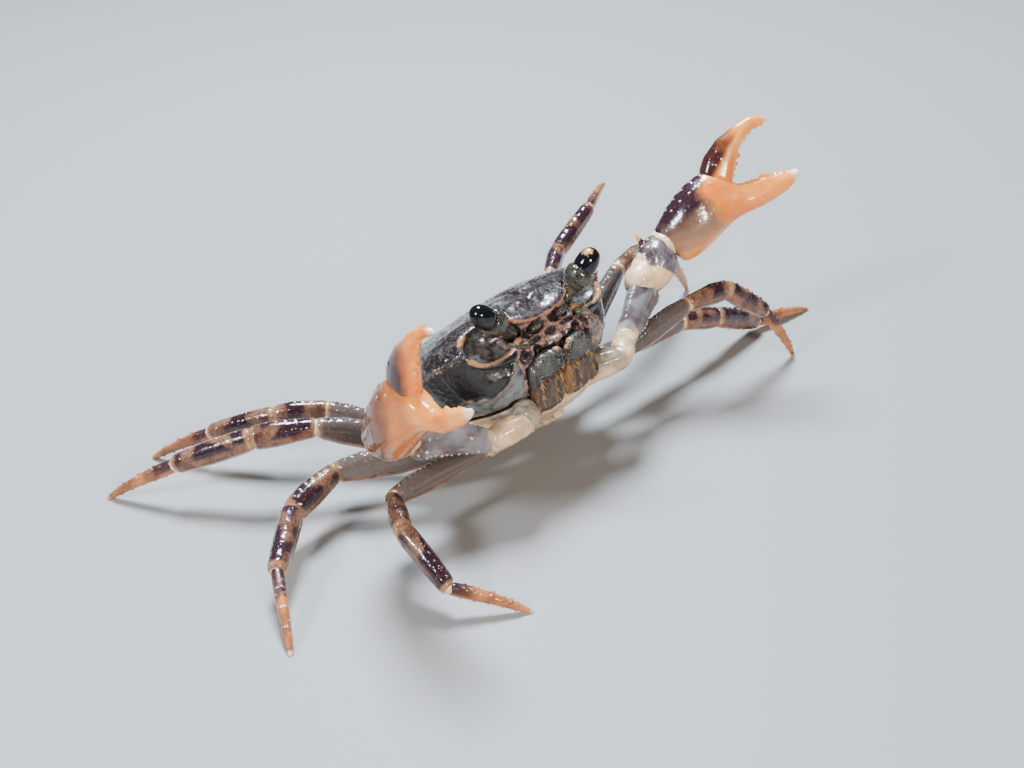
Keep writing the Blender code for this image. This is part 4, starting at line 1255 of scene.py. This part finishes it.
def shape_finger(skin, hand):
    """Movable finger: broad at its root, closed against the palm, slender on the smaller claw."""
    distance, height, _ = hand.measures(skin)
    root = fade(distance + 0.4 * height, 17.5, 11.5)
    outer = fade(height - 0.95 * (distance - FINGER_ROOT) - 3.8, -0.5, 1.0)
    grow = 0.8 * root * outer
    if hand.name == "right":
        grow -= 0.3 * (1 - root)
    shift = shift_from_curve(np.stack((distance, height), axis=1), FINGER_PATH, grow)
    forward, upward = PALM_FACE
    sink = 0.5 * fade(distance * forward + height * upward, 10.2, 9.2)
    skin.places += np.outer(shift[:, 0] - forward * sink, hand.along)
    skin.places += np.outer(shift[:, 1] - upward * sink, hand.up)
    skin.update()


def shape_palm(skin, hand):
    """The smaller claw gets a rounder palm and a slender, pointed fixed finger."""
    if hand.name == "right":
        distance, height, wide = hand.measures(skin)
        finger = fade(distance, 10.8, 13.0)
        rise = 0.6 * fade(height, 1.5, -3.6) * (1 - finger) - 0.38 * finger * (height + 1.9)
        skin.places += np.outer(rise, hand.up)
        skin.places -= np.outer(wide * (0.1 + 0.15 * finger), hand.across)
    skin.update()


def claw_teeth(piece, hand, line, way, big):
    """Blunt teeth along a cutting edge, alternately large and small, with one larger near its root."""
    along, across, up = hand.axes
    teeth = []
    for i in range(TEETH):
        place = (i + 0.5) * (len(line) - 1) / TEETH
        low = int(place)
        (d0, h0), (d1, h1) = line[low], line[low + 1]
        mix = place - low
        middle = hand.point(d0 + (d1 - d0) * mix, h0 + (h1 - h0) * mix)
        step = (along * (d1 - d0) + up * (h1 - h0)).normalized()
        out = across.cross(step) * way
        found, spot, _, _ = piece.ray_cast((middle + out * 4.0) * MM, -out, distance=4.0 * MM)
        if found:
            size = 0.42 if i == big else (0.24 if i % 2 else 0.18) * (1 - 0.3 * i / TEETH)
            teeth.append((spot / MM, (out + step * 0.15).normalized(), size, size * 1.1))
    return teeth


def palm_tubercles(piece, hand):
    """Staggered rows of low tubercles along the top of the palm."""
    rear, front = hand.point(1.0, 1.0), hand.point(8.2, 1.0)
    tubercles = []
    for row, angle in enumerate(PALM_ROWS):
        odd = row % 2
        shares = spaced(0.14 + 0.06 * odd, 0.9 + 0.06 * odd, 5)
        tubercles += spine_row(
            piece, rear, front, angle, shares, 0.2 - 0.02 * odd, 0.15, 0.1, hand.lean)
    return tubercles


def finger_tubercles(piece, hand):
    rear, front = hand.point(9.9, 4.0), hand.point(12.2, 6.4)
    tubercles = []
    for share, angle in FINGER_TUBERCLES:
        tubercles += spine_row(piece, rear, front, angle, (share,), 0.13, 0.07, 0.1, hand.lean)
    return tubercles


def outer_rear(measures, start):
    """How far a point of the smaller claw lies to its outer rear, from a distance along it."""
    distance, height, wide = measures
    return 0.73 * wide + 0.43 * height - 0.53 * (distance - start)


def claw_patches(skin, hand):
    """Uneven patches, and the share of cream at the finger's tip."""
    patch = mottle(skin.places, 2.0, 60) + 0.3 * mottle(skin.places, 0.8, 62)
    distance, _, _ = hand.measures(skin)
    return patch, 0.85 * fade(distance, 16.6, 18.0)


def paint_palm(skin, hand, tubercles):
    """Dark upper rear on the left palm; dark outer edge and brown lower side on the right one, whose dark
    edge is partly its own purple-brown and partly painted shade that deepens where the palm turns away.
    """
    distance, height, wide = hand.measures(skin)
    patch, tip = claw_patches(skin, hand)
    notch = 0.33 * np.minimum(height, 3.7) - 1.5 * np.maximum(height - 3.7, 0)
    rear = fade(distance + notch + 0.4 * patch, 8.6, 6.2)
    skin.grains(0.5, 0.12, 0.03, 0.1 * rear, 61)
    skin.layers["grain"] *= 0.35
    skin.mark(tubercles, 0.62)
    if hand.name == "left":
        skin.paint(
            dark=rear * fade(height + 0.5 * patch - 0.12 * distance, -0.8, 2.6),
            pink=0.95 * rear * fade(height + 0.5 * patch, -3.6, -0.2),
            cream=tip)
        return
    # partly painted shade: the smaller palm's purple-brown outer edge is painted darkest where it turns
    # away at the outer rear, with a red-brown band along it
    outer = outer_rear((distance, height, wide), 5.0)
    dark = 0.8 * fade(outer + 0.3 * patch, -0.4, 2.0) * fade(distance, 11.0, 8.0)
    below = np.maximum(fade(height + 0.4 * patch, 2.2, -1.4), fade(outer, -2.6, -0.6))
    skin.paint(
        dark=dark,
        pink=0.5 * dark,
        pale=0.85 * below * fade(distance, 12.0, 9.0) * (1 - dark),
        cream=tip)


def paint_finger(skin, hand):
    """Dark outer side towards the root, through red-brown to orange."""
    distance, height, wide = hand.measures(skin)
    patch, tip = claw_patches(skin, hand)
    outer = fade(height - 0.62 * (distance - FINGER_ROOT) - 3.6, 0.5, 1.9)
    if hand.name == "right":
        # On the smaller claw the dark also reaches the outer rear edge, partly the finger's own
        # purple-brown and partly painted shade where it turns away
        outer = np.maximum(outer, fade(outer_rear((distance, height, wide), 12.0), 1.8, 3.6))
    skin.paint(
        rim=0.95 * outer * fade(distance + 0.5 * patch, 14.6, 10.4),
        cream=tip,
        pale=0.8 * fade(outer, 0.2, 0.9) * fade(distance + patch, 16.4, 12.5))


def build_palm(hand):
    label = f"claw_{hand.name}_palm"
    piece = copy_node(label, label + "_shell")
    refine(piece, *FIRST_CLAW_MESH)
    shape_palm(Skin(piece), hand)
    refine(piece, *PALM_MESH,
           lambda skin: np.maximum(fade(hand.measures(skin)[0], 11.5, 9.5), 0.16))
    skin = Skin(piece)
    distance, height, wide = hand.measures(skin)
    swell = 0.1 + 0.25 * bell(distance - 5.0, 3.0) * fade(np.abs(wide), 1.0, 2.2)
    swell += 0.12 * bell(height + 0.4, 0.5) * fade(distance, 10.0, 12.0)
    skin.raise_by(swell)
    skin.update()
    tubercles = palm_tubercles(piece, hand)
    add_spines(piece, claw_teeth(piece, hand, FIXED_FINGER, 1.0, 4) + tubercles)
    refine(piece, *SPINED_CLAW_MESH)
    skin = Skin(piece)
    paint_palm(skin, hand, tubercles)
    skin.finish(FINISHES["claw"], "claw", label)


def build_finger(hand):
    label = f"claw_{hand.name}_finger"
    piece = copy_node(label, label + "_shell")
    refine(piece, *FIRST_CLAW_MESH)
    shape_finger(Skin(piece), hand)
    refine(piece, *FINGER_MESH)
    skin = Skin(piece)
    skin.raise_by(np.full(skin.count, 0.08))
    skin.update()
    tubercles = finger_tubercles(piece, hand)
    add_spines(piece, claw_teeth(piece, hand, FINGER_PATH, -1.0, 3) + tubercles)
    refine(piece, *SPINED_CLAW_MESH)
    skin = Skin(piece)
    paint_finger(skin, hand)
    skin.finish(FINISHES["claw"], "claw", label)


def build_claw(name, side):
    path = limb_path(1, name)
    build_arm(name, side, path)
    add_joint_skins(f"claw_{name}_joint_skin", path[1:5], CLAW_JOINT_RADII[name], 0.07)
    hand = Hand(name, side, path[4])
    build_palm(hand)
    build_finger(hand)


build_carapace()
build_thorax()
build_tail_flap()
for side_name, way_out in SIDES:
    build_mouth_leg(side_name, way_out)
for side_name, way_out in SIDES:
    build_eye(side_name, way_out)
for side_name, way_out in SIDES:
    build_claw(side_name, way_out)
    for leg_pair in LEG_LENGTHS:
        build_leg(leg_pair, side_name)
